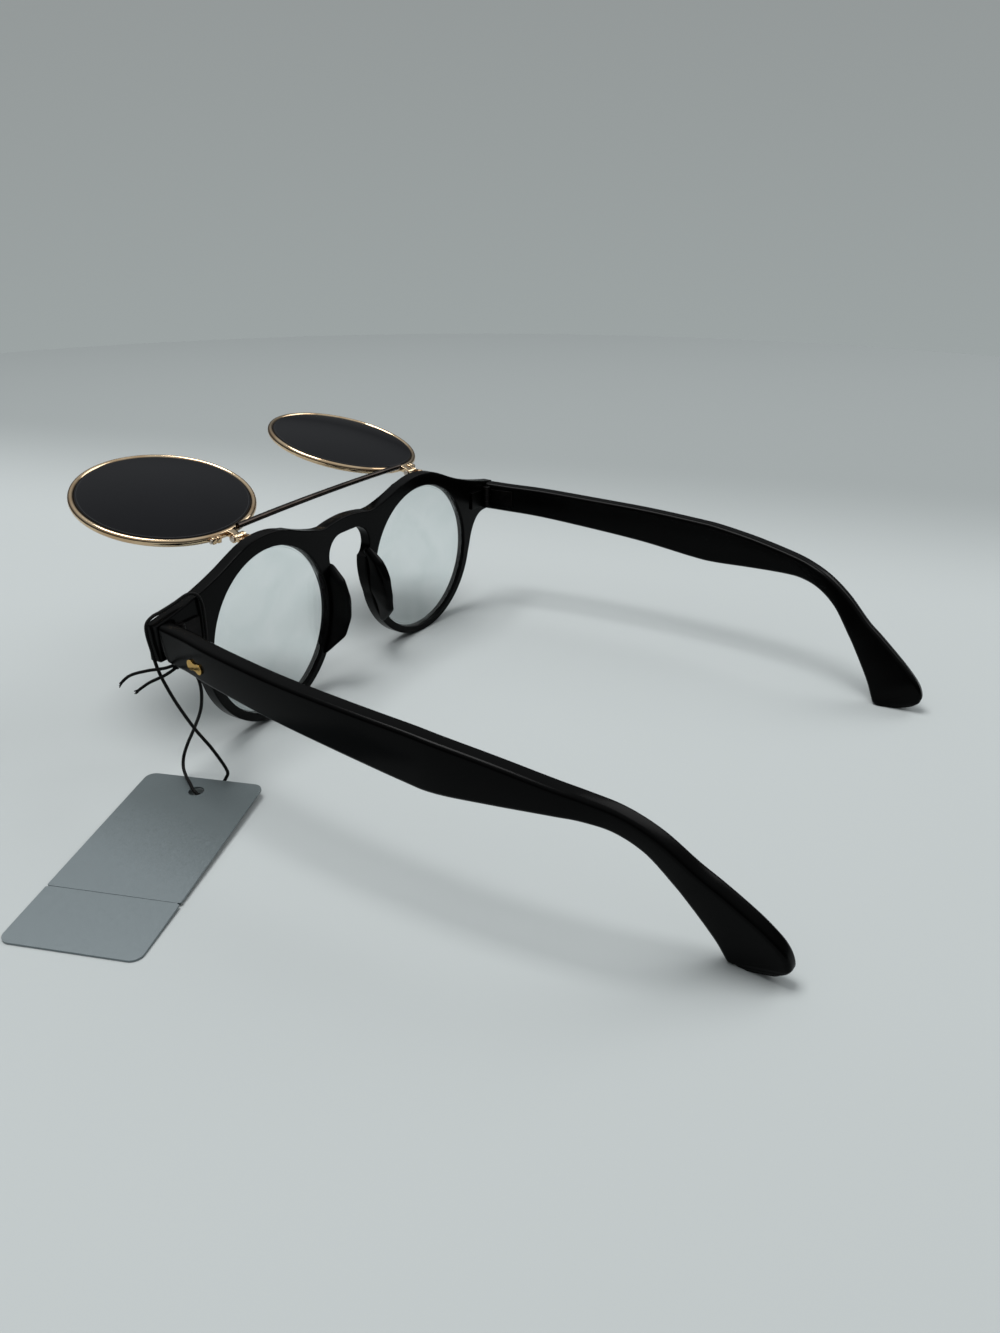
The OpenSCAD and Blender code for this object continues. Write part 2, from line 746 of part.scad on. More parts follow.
// Flat card, with its lower end at the origin and its top end along -X
module tag_card() {
    difference() {
        linear_extrude(tag_t) difference() {
            union() {
                translate([-tag_l, -tag_w / 2 + tag_corner]) square([tag_l, tag_w - 2 * tag_corner]);
                translate([-tag_l + tag_corner, -tag_w / 2]) square([tag_l - 2 * tag_corner, tag_w]);
                for (x = [-tag_corner, -tag_l + tag_corner]) for (s = [1, -1])
                    translate([x, s * (tag_w / 2 - tag_corner)]) circle(tag_corner, $fn = 48);
            }
            translate([-tag_l + tag_hole_in, 0]) circle(d = tag_hole_d, $fn = 48);
            for (s = [1, -1]) translate([-tag_l * (1 - score_at), s * tag_w / 2])
                polygon([[-notch_d, s], [0, -s * notch_d], [notch_d, s]]);
        }
        translate([-tag_l * (1 - score_at) - score_w / 2, -tag_w / 2, tag_t - score_d])
            cube([score_w, tag_w, 1]);
    }
}

module swing_tag() {
    color([0.6, 0.62, 0.64]) at_front() translate([tag_end[0], tag_end[1], -lens_z])
        rotate([0, 0, tag_turn]) rotate([0, asin(tag_lift / tag_l), 0]) tag_card();
}

// Round cord along a smooth path through its points
module cord(route, steps) {
    tube(smooth(route, steps), cord_d, cord_sides);
}

module tag_cord() {
    color([0.05, 0.05, 0.05]) at_front() cord(cord_route, cord_steps);
}

// Knot, with a pocket where each end of the cord goes in
module tag_knot() {
    color([0.05, 0.05, 0.05]) at_front() difference() {
        translate(knot_at) sphere(knot_r, $fn = 32);
        cord(cord_route, cord_steps);
        cord(tail_a_route, tail_steps);
        cord(tail_b_route, tail_steps);
    }
}

module tag_tail(route) {
    color([0.05, 0.05, 0.05]) at_front() cord(route, tail_steps);
}

front_frame();
clear_lens(1);  // clear_lens_left
clear_lens(-1);  // clear_lens_right
front_hinge(1);  // front_hinge_left
front_hinge(-1);  // front_hinge_right
hinge_screw(1);  // hinge_screw_left
hinge_screw(-1);  // hinge_screw_right
flip_bracket(1);  // flip_bracket_left
flip_bracket(-1);  // flip_bracket_right
bracket_screw(1);  // bracket_screw_left
bracket_screw(-1);  // bracket_screw_right
flip_pin(1);  // flip_pin_left
flip_pin(-1);  // flip_pin_right
flip_rim(1);  // flip_rim_left
flip_rim(-1);  // flip_rim_right
dark_lens(1);  // dark_lens_left
dark_lens(-1);  // dark_lens_right
flip_knuckle(1);  // flip_knuckle_left
flip_knuckle(-1);  // flip_knuckle_right
rim_screw(1);  // rim_screw_left
rim_screw(-1);  // rim_screw_right
flip_bar();
temple(1);  // temple_left
temple(-1);  // temple_right
temple_core(1);  // temple_core_left
temple_core(-1);  // temple_core_right
temple_hinge(1);  // temple_hinge_left
temple_hinge(-1);  // temple_hinge_right
temple_plate(1);  // temple_plate_left
temple_plate(-1);  // temple_plate_right
swing_tag();
tag_cord();
tag_knot();
tag_tail(tail_a_route);  // tag_tail_a
tag_tail(tail_b_route);  // tag_tail_b
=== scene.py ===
"""Flip-up sunglasses with a blank swing tag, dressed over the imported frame.

Sizes in the classes are millimetres from the middle of the front's rear face, at lens
height: X to the wearer's left, Y to the temple tips and Z up. Placed.to_row turns them
into metres in the row frame.
"""

import logging
import math
import random
from collections.abc import Callable, Iterator, Sequence
from contextlib import contextmanager
from dataclasses import dataclass, field
from enum import Enum

import bmesh
import bpy
from mathutils import Matrix, Vector


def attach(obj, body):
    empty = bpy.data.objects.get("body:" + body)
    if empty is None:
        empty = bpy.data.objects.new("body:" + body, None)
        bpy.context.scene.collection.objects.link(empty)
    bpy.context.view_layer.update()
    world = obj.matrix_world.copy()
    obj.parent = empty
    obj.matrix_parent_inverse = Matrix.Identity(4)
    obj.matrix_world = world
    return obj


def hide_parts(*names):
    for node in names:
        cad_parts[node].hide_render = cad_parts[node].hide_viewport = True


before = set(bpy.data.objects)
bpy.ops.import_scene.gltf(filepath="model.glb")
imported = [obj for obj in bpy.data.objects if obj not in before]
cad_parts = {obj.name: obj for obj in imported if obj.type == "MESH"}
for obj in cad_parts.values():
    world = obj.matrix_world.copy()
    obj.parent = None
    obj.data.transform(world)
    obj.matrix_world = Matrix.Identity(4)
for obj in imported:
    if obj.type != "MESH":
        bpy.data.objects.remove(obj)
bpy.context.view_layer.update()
LOG = logging.getLogger("sunglasses")

Point = Sequence[float]
Piece = bpy.types.Object
Material = bpy.types.Material
Node = bpy.types.Node

IN_PLACE = Matrix.Identity(4)
# Turns what is modelled along Z to face forwards, along -Y
FORWARDS = Matrix.Rotation(math.radians(90), 4, "X")


class Body(Enum):
    """The rigid bodies of the frame."""

    FRONT = "front"
    FLIP = "flip_up"
    LEFT = "left_temple"
    RIGHT = "right_temple"


class Side(Enum):
    """The two sides of the glasses, as the wearer has them."""

    LEFT = 1
    RIGHT = -1

    @property
    def word(self) -> str:
        """The side's name as the frame's nodes end in it."""
        return self.name.lower()

    @property
    def temple(self) -> Body:
        """The body of this side's temple."""
        return Body[self.name]


class Slot(Enum):
    """Material slots of the record."""

    PLASTIC = "black_acetate"
    CLEAR = "clear_lens"
    DARK = "dark_lens"
    GOLD = "pale_gold"
    SCREW = "screw_steel"
    HINGE = "black_steel"
    CORE = "core_steel"
    CARD = "card"
    CORD = "cord"


# Placing


def about(point: Point, angle: float, axis: str) -> Matrix:
    """Matrix that turns about an axis through a point, by an angle in radians."""
    there = Matrix.Translation(point)
    return there @ Matrix.Rotation(angle, 4, axis) @ there.inverted()


@dataclass(frozen=True)
class Placed:
    """Where the parts of the glasses lie, in millimetres."""

    front_x: float = -1.26
    front_y: float = -46.45
    lens_z: float = 24.7
    lens_x: float = 33.5
    wrap: float = math.radians(2.5)
    hinge_x: float = 66.9
    hinge_y: float = 1.55
    pin_y: float = -6.2
    pin_z: float = 25.6
    flip_turn: float = math.radians(-104)
    rim_x: float = 36.6
    rim_y: float = -5.8
    rim_z: float = -0.9
    rim_wrap: float = math.radians(4)
    lug_turn: float = math.radians(-12)

    def to_row(self) -> Matrix:
        """Matrix from millimetres at the front to metres in the row frame."""
        return Matrix.Scale(0.001, 4) @ Matrix.Translation((self.front_x, self.front_y, self.lens_z))

    def mirrored(self, side: Side) -> Matrix:
        """Matrix that mirrors the left side for the right."""
        return Matrix.Diagonal((side.value, 1, 1, 1))

    def turned_half(self) -> Matrix:
        """Matrix that turns the left half of the front back about its lens."""
        return about((self.lens_x, 0, 0), self.wrap, "Z")

    def swung_up(self) -> Matrix:
        """Matrix that swings the metal rims from hanging down to their place."""
        return about((0, self.pin_y, self.pin_z), self.flip_turn, "X")

    def at_rim(self) -> Matrix:
        """Matrix to the centre of the left metal rim while it hangs, its axis along Z."""
        return (
            Matrix.Translation((self.rim_x, self.rim_y, self.rim_z))
            @ Matrix.Rotation(self.rim_wrap, 4, "Z")
            @ FORWARDS
        )

    def opened(self, lean: float) -> Matrix:
        """Matrix to the left hinge axis, with the temple open.

        Args:
            lean: outward lean of the temple, in degrees.

        Returns:
            The matrix from the temple's own millimetres to the front's.
        """
        there = Matrix.Translation((self.hinge_x, self.hinge_y, 0))
        return self.turned_half() @ there @ Matrix.Rotation(-self.wrap - math.radians(lean), 4, "Z")


PLACE = Placed()


# Modelling helpers


def only(obj: Piece) -> Piece:
    """Makes one object the only selected and active one.

    Args:
        obj: the object.

    Returns:
        The same object.
    """
    if bpy.context.object and bpy.context.object.mode != "OBJECT":
        bpy.ops.object.mode_set(mode="OBJECT")
    for other in bpy.context.selected_objects:
        other.select_set(False)
    obj.select_set(True)
    bpy.context.view_layer.objects.active = obj
    return obj


def added(name: str, data: bpy.types.ID) -> Piece:
    """Adds an object to the scene.

    Args:
        name: its name.
        data: its mesh, curve, camera or lamp.

    Returns:
        The object.
    """
    obj = bpy.data.objects.new(name, data)
    bpy.context.scene.collection.objects.link(obj)
    return obj


@contextmanager
def edited(obj: Piece) -> Iterator[None]:
    """Opens a piece for editing with all of it selected, and closes it again.

    Args:
        obj: the piece.

    Yields:
        Nothing.
    """
    only(obj)
    bpy.ops.object.mode_set(mode="EDIT")
    bpy.ops.mesh.select_all(action="SELECT")
    yield
    bpy.ops.object.mode_set(mode="OBJECT")


def started(name: str, add: Callable[..., object], **settings: object) -> Piece:
    """Adds a primitive and names it.

    Args:
        name: name of the piece.
        add: the operator that adds the primitive.
        settings: the operator's settings.

    Returns:
        The new object, with its place moved into its mesh.
    """
    for other in bpy.context.selected_objects:
        other.select_set(False)
    add(**settings)
    obj = bpy.context.object
    obj.name = name
    obj.data.name = name
    obj.data.transform(obj.matrix_world)
    obj.matrix_world = IN_PLACE
    return only(obj)


def seated(obj: Piece, place: Matrix) -> Piece:
    """Puts a piece's place in its mesh, and keeps its faces pointing outwards.

    Args:
        obj: the piece, modelled in its own millimetres.
        place: the matrix to millimetres at the front.

    Returns:
        The same piece, in metres in the row frame.
    """
    obj.data.transform(PLACE.to_row() @ place)
    if place.determinant() < 0:
        obj.data.flip_normals()
    obj.data.update()
    return obj


def modified(obj: Piece, kind: str, **settings: object) -> Piece:
    """Adds one modifier with its settings and applies it.

    Args:
        obj: the piece.
        kind: the modifier's type.
        settings: values of its properties.

    Returns:
        The same piece.
    """
    modifier = only(obj).modifiers.new(kind.title(), kind)
    for key, value in settings.items():
        setattr(modifier, key, value)
    bpy.ops.object.modifier_apply(modifier=modifier.name)
    return obj


def closed(obj: Piece, gap: float = 1e-4) -> Piece:
    """Merges doubled points and turns every face outwards.

    Args:
        obj: the piece.
        gap: distance under which points merge, in the piece's own units.

    Returns:
        The same piece.
    """
    with edited(obj):
        bpy.ops.mesh.remove_doubles(threshold=gap)
        bpy.ops.mesh.dissolve_degenerate(threshold=gap)
        bpy.ops.mesh.normals_make_consistent(inside=False)
    return obj


def smoothed(obj: Piece, angle: float = 34) -> Piece:
    """Shades a piece smooth up to an angle, in degrees, and returns it."""
    only(obj)
    bpy.ops.object.shade_smooth_by_angle(angle=math.radians(angle))
    return obj


def joined(name: str, parts: Sequence[Piece]) -> Piece:
    """Joins several objects into one piece.

    Args:
        name: name of the piece.
        parts: the objects.

    Returns:
        The piece.
    """
    only(parts[0])
    for part in parts:
        part.select_set(True)
    bpy.ops.object.join()
    parts[0].name = name
    parts[0].data.name = name
    return parts[0]


def cut_off(obj: Piece, point: Point, normal: Point) -> None:
    """Cuts away what lies on the side of a plane that its normal points to.

    Args:
        obj: the piece.
        point: a point of the plane.
        normal: its normal.
    """
    with edited(obj):
        bpy.ops.mesh.bisect(
            plane_co=point, plane_no=normal, use_fill=True, clear_outer=True, threshold=1e-5
        )


def lofted(name: str, rings: Sequence[Sequence[Vector]]) -> Piece:
    """Models a bar by extruding one ring of points after another from a disc.

    Args:
        name: name of the piece.
        rings: rings of as many points each, from one end to the other.

    Returns:
        The piece, closed at both ends.
    """
    count = len(rings[0])
    obj = started(name, bpy.ops.mesh.primitive_circle_add, vertices=count, radius=1, fill_type="NGON")
    for vertex, spot in zip(obj.data.vertices, rings[0]):
        vertex.co = spot
    with edited(obj):
        for before, after in zip(rings, rings[1:]):
            bpy.ops.mesh.extrude_region_move()
            work = bmesh.from_edit_mesh(obj.data)
            for vertex in [v for v in work.verts if v.select]:
                nearest = min(range(count), key=lambda i: (vertex.co - before[i]).length_squared)
                vertex.co = after[nearest]
            bmesh.update_edit_mesh(obj.data)
    return closed(obj)


def spun(name: str, profile: Sequence[Point], steps: int = 128) -> Piece:
    """Turns a closed half section about the Z axis.

    Args:
        name: name of the piece.
        profile: radius and height of each corner of the half section.
        steps: steps round the axis.

    Returns:
        The piece.
    """
    obj = started(name, bpy.ops.mesh.primitive_circle_add, vertices=len(profile), fill_type="NOTHING")
    for vertex, (radius, height) in zip(obj.data.vertices, profile):
        vertex.co = (radius, 0, height)
    with edited(obj):
        bpy.ops.mesh.spin(steps=steps, angle=math.tau, center=(0, 0, 0), axis=(0, 0, 1))
    return closed(obj)


def bend(a: Point, b: Point, c: Point, count: int) -> list[tuple[float, ...]]:
    """Points on a curve from a to c that leans towards b.

    Args:
        a: first point.
        b: point that the curve leans towards.
        c: last point.
        count: steps along the curve.

    Returns:
        The points.
    """
    out = []
    for i in range(count + 1):
        t = i / count
        out.append(tuple(
            p * (1 - t) ** 2 + q * 2 * t * (1 - t) + r * t * t for p, q, r in zip(a, b, c)
        ))
    return out


def arc(
    centre: Point, radius: float, first: float, last: float, count: int
) -> list[tuple[float, float]]:
    """Points on an arc between two angles.

    Args:
        centre: its centre.
        radius: its radius.
        first: angle of the first point, in degrees.
        last: angle of the last point, in degrees.
        count: steps along the arc.

    Returns:
        The points.
    """
    turns = [math.radians(first + (last - first) * i / count) for i in range(count + 1)]
    return [(centre[0] + radius * math.cos(t), centre[1] + radius * math.sin(t)) for t in turns]


def smooth_rows(rows: Sequence[Point], steps: int) -> list[list[float]]:
    """A smooth curve through every row of a list.

    Args:
        rows: rows of numbers.
        steps: steps between two rows.

    Returns:
        The rows of the curve.
    """
    last = len(rows) - 1
    out = []
    for i in range(last):
        a, b, c, d = rows[max(i - 1, 0)], rows[i], rows[i + 1], rows[min(i + 2, last)]
        for s in range(steps):
            t = s / steps
            out.append([
                0.5 * (
                    2 * q + (r - p) * t + (2 * p - 5 * q + 4 * r - w) * t * t
                    + (3 * q - p - 3 * r + w) * t**3
                )
                for p, q, r, w in zip(a, b, c, d)
            ])
    out.append(list(rows[last]))
    return out


def tube_mesh(name: str, path: Sequence[Vector], radii: Sequence[float], sides: int) -> Piece:
    """Makes a round tube along a path, with a UV map in millimetres along and turns round it.

    Args:
        name: name of the piece.
        path: points of the centreline, in millimetres at the front.
        radii: radius at each point.
        sides: points round the tube.

    Returns:
        The tube, closed at both ends.
    """
    count = len(path)
    heads = [(path[min(i + 1, count - 1)] - path[max(i - 1, 0)]).normalized() for i in range(count)]
    across = heads[0].cross(Vector((0.31, 0.52, 0.79))).normalized()
    points: list[Vector] = []
    for spot, head, radius in zip(path, heads, radii):
        across = (across - head * across.dot(head)).normalized()
        other = head.cross(across)
        for j in range(sides):
            turn = math.tau * j / sides
            points.append(spot + (across * math.cos(turn) + other * math.sin(turn)) * radius)
    along = [0.0]
    for a, b in zip(path, path[1:]):
        along.append(along[-1] + (b - a).length)
    faces, marks = [], []
    for i in range(count - 1):
        for j in range(sides):
            k = (j + 1) % sides
            faces.append((i * sides + j, i * sides + k, (i + 1) * sides + k, (i + 1) * sides + j))
            u, v, low, high = along[i], along[i + 1], j / sides, (j + 1) / sides
            marks.append(((u, low), (u, high), (v, high), (v, low)))
    for start, flip in ((0, True), ((count - 1) * sides, False)):
        ring = [start + j for j in range(sides)]
        faces.append(tuple(reversed(ring)) if flip else tuple(ring))
        marks.append(tuple((along[0 if flip else -1], j / sides) for j in range(sides)))
    mesh = bpy.data.meshes.new(name)
    mesh.from_pydata([tuple(p) for p in points], [], faces)
    layer = mesh.uv_layers.new(name="along")
    for polygon, corners in zip(mesh.polygons, marks):
        polygon.use_smooth = True
        for loop, corner in zip(polygon.loop_indices, corners):
            layer.data[loop].uv = corner
    return added(name, mesh)


# Finishes


def linear(code: str) -> tuple[float, float, float, float]:
    """Turns an sRGB hex colour into a linear one.

    Args:
        code: six hex digits after a #.

    Returns:
        Red, green, blue and alpha, from 0 to 1.
    """
    parts = [int(code[i : i + 2], 16) / 255 for i in (1, 3, 5)]
    return (*[c / 12.92 if c <= 0.04045 else ((c + 0.055) / 1.055) ** 2.4 for c in parts], 1.0)


@dataclass
class Wiring:
    """A node tree while it is made."""

    tree: bpy.types.NodeTree

    def node(self, kind: str, values: dict[object, object] | None = None, **settings: object) -> Node:
        """Adds a node, sets it up and links it.

        Args:
            kind: the node's type.
            values: a value, or an output to link, for each named or numbered input.
            settings: the node's own properties.

        Returns:
            The node.
        """
        made = self.tree.nodes.new(kind)
        for key, value in settings.items():
            setattr(made, key, value)
        for key, value in (values or {}).items():
            self.put(made.inputs[key], value)
        return made

    def put(self, socket: bpy.types.NodeSocket, value: object) -> None:
        """Sets an input, or links an output to it."""
        if isinstance(value, bpy.types.NodeSocket):
            self.tree.links.new(value, socket)
        else:
            socket.default_value = value

    def reckoned(self, operation: str, *values: object) -> object:
        """Adds a math node and returns its output."""
        return self.node("ShaderNodeMath", dict(enumerate(values)), operation=operation).outputs[0]

    def ranged(
        self, value: object, start: object, end: object, low: object = 0, high: object = 1, **settings: object
    ) -> object:
        """Maps a value from one range to another, and holds it inside that.

        Args:
            value: the output that is mapped.
            start: its value that gives the low result.
            end: its value that gives the high result.
            low: the low result.
            high: the high result.
            settings: the node's own properties.

        Returns:
            The output.
        """
        spans = {"Value": value, "From Min": start, "From Max": end, "To Min": low, "To Max": high}
        return self.node("ShaderNodeMapRange", spans, **settings).outputs["Result"]


class Recipe(Wiring):
    """One material's nodes, round its principled shader."""

    def __init__(self, name: str) -> None:
        """Starts the material.

        Args:
            name: the material's name.
        """
        self.material = bpy.data.materials.new(name)
        self.material.use_nodes = True
        super().__init__(self.material.node_tree)
        self.surface = self.tree.nodes["Principled BSDF"]

    def shade(self, **values: object) -> None:
        """Sets or links inputs of the shader; an underscore stands for a space."""
        for key, value in values.items():
            self.put(self.surface.inputs[key.replace("_", " ")], value)

    def spot(self) -> object:
        """Reads where a point lies in the piece, in metres."""
        return self.node("ShaderNodeTexCoord").outputs["Object"]

    def grain(self, per_mm: float, detail: float = 2, warp: float = 0) -> object:
        """Adds noise of a real size.

        Args:
            per_mm: grains in a millimetre.
            detail: octaves.
            warp: distortion.

        Returns:
            The noise, from 0 to 1.
        """
        noise = {"Vector": self.spot(), "Scale": per_mm * 1000, "Detail": detail, "Distortion": warp}
        return self.node("ShaderNodeTexNoise", noise).outputs["Fac"]

    def spread(
        self, factor: object, low: object, high: object, start: float = 0.35, end: float = 0.65
    ) -> object:
        """Turns a factor into a value or colour between two.

        Args:
            factor: the output that drives it.
            low: grey level or hex colour at the start.
            high: grey level or hex colour at the end.
            start: factor at which it starts to change.
            end: factor at which it has changed.

        Returns:
            The ramp's colour output.
        """
        ramp = self.node("ShaderNodeValToRGB", {"Fac": factor})
        stops = ramp.color_ramp.elements
        for stop, place, tone in ((stops[0], start, low), (stops[1], end, high)):
            stop.position = place
            stop.color = linear(tone) if isinstance(tone, str) else (tone, tone, tone, 1)
        return ramp.outputs["Color"]

    def bump(self, height: object, depth_mm: float, strength: float = 1) -> None:
        """Gives the surface a relief of a real depth in millimetres."""
        relief = {"Height": height, "Distance": depth_mm / 1000, "Strength": strength}
        self.shade(Normal=self.node("ShaderNodeBump", relief).outputs["Normal"])


@dataclass(frozen=True)
class Finish:
    """The look of one kind of surface."""

    name: str = ""

    def make(self) -> Material:
        """Makes the material.

        Returns:
            The material.
        """
        mix = Recipe(self.name)
        self.mixed(mix)
        return mix.material

    def mixed(self, mix: Recipe) -> None:
        """Sets up the shader of the material."""
        raise NotImplementedError


@dataclass(frozen=True)
class TumbledAcetate(Finish):
    """Black cellulose acetate, milled from sheet and tumbled to a satin that shines along its edges."""

    name: str = "tumbled_acetate"
    tone: str = "#020202"
    worn: str = "#040404"
    grain_per_mm: float = 6.0
    grain_depth: float = 0.004

    def mixed(self, mix: Recipe) -> None:
        """Sets up the shader of the material."""
        patches = mix.grain(0.05, 3, 0.4)
        grit = mix.grain(self.grain_per_mm, 2)
        mix.shade(
            Base_Color=mix.spread(patches, self.tone, self.worn),
            Roughness=mix.spread(patches, 0.18, 0.26),
            Specular_IOR_Level=0.06,
            IOR=1.48,
        )
        mix.bump(grit, self.grain_depth, 0.4)


@dataclass(frozen=True)
class GoldPlate(Finish):
    """Drawn wire or stamped strip with a thin polished gold plating."""

    name: str = "rose_gold_plate"
    tone: str = "#DCC3A2"
    deep: str = "#C2A17C"
    line_per_mm: float = 3.0

    def mixed(self, mix: Recipe) -> None:
        """Sets up the shader of the material."""
        cloud = mix.grain(0.12, 2, 0.6)
        rub = mix.grain(self.line_per_mm, 3)
        mix.shade(
            Base_Color=mix.spread(cloud, self.tone, self.deep, 0.4, 0.75),
            Metallic=1.0,
            Roughness=mix.spread(rub, 0.07, 0.15),
        )
        mix.bump(rub, 0.003, 0.2)


@dataclass(frozen=True)
class TurnedSteel(Finish):
    """Steel turned on a lathe or rolled, with the fine lines that the tool leaves."""

    name: str = "turned_steel"
    tone: str = "#C9BDB0"
    dim: str = "#A89C90"
    line_per_mm: float = 4.0
    dull: float = 0.3
    streak: float = 0.08

    def mixed(self, mix: Recipe) -> None:
        """Sets up the shader of the material."""
        wave = {"Scale": self.line_per_mm * 1000 / math.tau, "Distortion": 1.5, "Detail": 2.0}
        lines = mix.node(
            "ShaderNodeTexWave", {"Vector": mix.spot(), **wave}, bands_direction="Z"
        ).outputs["Fac"]
        mix.shade(
            Base_Color=mix.spread(mix.grain(0.5, 2), self.tone, self.dim),
            Metallic=1.0,
            Roughness=mix.spread(lines, self.dull - self.streak, self.dull + self.streak, 0.0, 1.0),
        )
        mix.bump(lines, 0.003, 0.3)


@dataclass(frozen=True)
class ClearLensPlastic(Finish):
    """Polished clear CR-39, a touch of cool tint, with faint wipe haze."""

    name: str = "clear_lens_plastic"
    tint: str = "#F6FAFA"
    haze_tint: str = "#EDF3F3"

    def mixed(self, mix: Recipe) -> None:
        """Sets up the shader of the material."""
        haze = mix.grain(0.08, 3, 1.0)
        mix.shade(
            Base_Color=mix.spread(haze, self.tint, self.haze_tint),
            Roughness=mix.spread(haze, 0.01, 0.04, 0.3, 0.8),
            Specular_IOR_Level=0.3,
            IOR=1.5,
            Transmission_Weight=1.0,
        )


@dataclass(frozen=True)
class LensEdgeLightAndShade(Finish):
    """The ground bevel round a lens, coloured with painted light: a pale painted highlight round a clear one,
    a black painted shadow round a dyed one.
    """

    name: str = "lens_edge_painted_highlight"
    tone: str = "#EEF2F2"
    dim: str = "#C9D1D2"

    def mixed(self, mix: Recipe) -> None:
        """Sets up the shader of the material."""
        grit = mix.grain(8, 2)
        mix.shade(
            Base_Color=mix.spread(grit, self.tone, self.dim),
            Roughness=0.55,
            Specular_IOR_Level=0.3,
            IOR=1.5,
        )
        mix.bump(grit, 0.01, 0.5)


@dataclass(frozen=True)
class DarkLensPlastic(Finish):
    """Grey dyed lens plastic, nearly opaque at a slant, with a polished face."""

    name: str = "dark_lens_plastic"
    tone: str = "#07070C"
    deep: str = "#040408"

    def mixed(self, mix: Recipe) -> None:
        """Sets up the shader of the material."""
        dye = mix.grain(0.03, 2)
        mix.shade(
            Base_Color=mix.spread(dye, self.deep, self.tone),
            Roughness=mix.spread(mix.grain(0.2, 3, 0.5), 0.05, 0.1),
            Specular_IOR_Level=0.11,
            IOR=1.5,
            Transmission_Weight=0.1,
        )


@dataclass(frozen=True)
class SilverCard(Finish):
    """Grey laminated card, 0.5 mm, satin, with paper fibres, and painted shade that darkens it towards its
    hole.
    """

    name: str = "silver_card"
    tone: str = "#666F71"
    light: str = "#7C8588"
    painted_shade_span: tuple[float, float] = (0.07, 0.115)
    fibre_share: float = 0.3

    def mixed(self, mix: Recipe) -> None:
        """Sets up the shader of the material."""
        fibre = mix.grain(3.0, 4, 1.2)
        along = mix.node("ShaderNodeSeparateXYZ", {"Vector": mix.spot()}).outputs["X"]
        # Painted shade: the card's colour darkens along X towards the hole end.
        painted_shade = mix.ranged(along, *self.painted_shade_span)
        both = mix.node("ShaderNodeMix", {"Factor": self.fibre_share, "A": painted_shade, "B": fibre})
        mix.shade(
            Base_Color=mix.spread(both.outputs["Result"], self.tone, self.light),
            Roughness=mix.spread(fibre, 0.34, 0.5),
            Metallic=0.45,
            IOR=1.45,
        )
        mix.bump(fibre, 0.012, 0.35)


@dataclass(frozen=True)
class WaxedCord(Finish):
    """Black waxed cotton, two plies twisted, 1.3 mm to a turn."""

    name: str = "waxed_cord"
    tone: str = "#020202"
    sheen: str = "#0C0B0B"
    turns_per_mm: float = 0.75
    plies: int = 2

    def mixed(self, mix: Recipe) -> None:
        """Sets up the shader of the material."""
        uv = mix.node("ShaderNodeUVMap", uv_map="along").outputs["UV"]
        parts = mix.node("ShaderNodeSeparateXYZ", {"Vector": uv}).outputs
        turn = mix.reckoned("MULTIPLY", parts["X"], self.turns_per_mm)
        phase = mix.reckoned("ADD", turn, parts["Y"])
        wave = mix.reckoned("SINE", mix.reckoned("MULTIPLY", phase, self.plies * math.tau))
        ply = mix.ranged(wave, -1.0, 1.0)
        fluff = mix.grain(5, 3)
        mix.shade(
            # Painted sheen: the ply pattern lightens the crown of each ply.
            Base_Color=mix.spread(ply, self.tone, self.sheen, 0.3, 1.0),
            Roughness=mix.spread(fluff, 0.5, 0.75),
            Specular_IOR_Level=0.15,
            IOR=1.46,
            Sheen_Weight=0.04,
            Sheen_Roughness=0.5,
        )
        mix.bump(ply, 0.08, 0.8)


def held(finish: Finish) -> Material:
    """A field that makes the material of a finish."""
    return field(default_factory=finish.make)


@dataclass
class Finishes:
    """One material for each kind of surface."""

    plastic: Material = held(TumbledAcetate())
    gold: Material = held(GoldPlate())
    brass: Material = held(GoldPlate("brass_plate", "#C9A258", "#B28B42"))
    # The brow bar's gold is darkened to a deep brown: painted shade.
    gold_painted_dim: Material = held(GoldPlate("gold_wire_painted_dim", "#3A332F", "#1D1917"))
    screw: Material = held(TurnedSteel())
    # Near-black hinge steel: its dark tone is painted shade on the hinge leaves and their screws.
    hinge: Material = held(TurnedSteel("steel_in_painted_shade", "#0A0A0A", "#191717", 3.0, 0.36))
    core: Material = held(TurnedSteel("drawn_core_wire", "#9C9C9E", "#8A8A8C", 2.0, 0.4))
    clear: Material = held(ClearLensPlastic())
    # Pale ground edge of the clear lenses: painted highlight.
    edge: Material = held(LensEdgeLightAndShade())
    dark: Material = held(DarkLensPlastic())
    # Black edge ring of the dark lenses: painted shadow of the groove.
    dark_edge: Material = held(LensEdgeLightAndShade("dark_lens_edge_painted_shadow", "#020202", "#060606"))
    card: Material = held(SilverCard())
    cord: Material = held(WaxedCord())


def dressed(obj: Piece, *materials: Material) -> Piece:
    """Gives a piece its materials, in the order of its faces' indices, and returns it."""
    obj.data.materials.clear()
    for material in materials:
        obj.data.materials.append(material)
    return obj


def handed_over(obj: Piece, body: Body, slot: Slot, *nodes: str) -> Piece:
    """Makes a finished piece ride on its body in place of CAD nodes.

    Args:
        obj: the piece.
        body: the body that it rides on.
        slot: the material slot of the record; not used.
        nodes: CAD nodes that it stands for.

    Returns:
        The same piece.
    """
    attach(obj, body.value)
    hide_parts(*nodes)
    LOG.info("%s rides on %s", obj.name, body.value)
    return obj


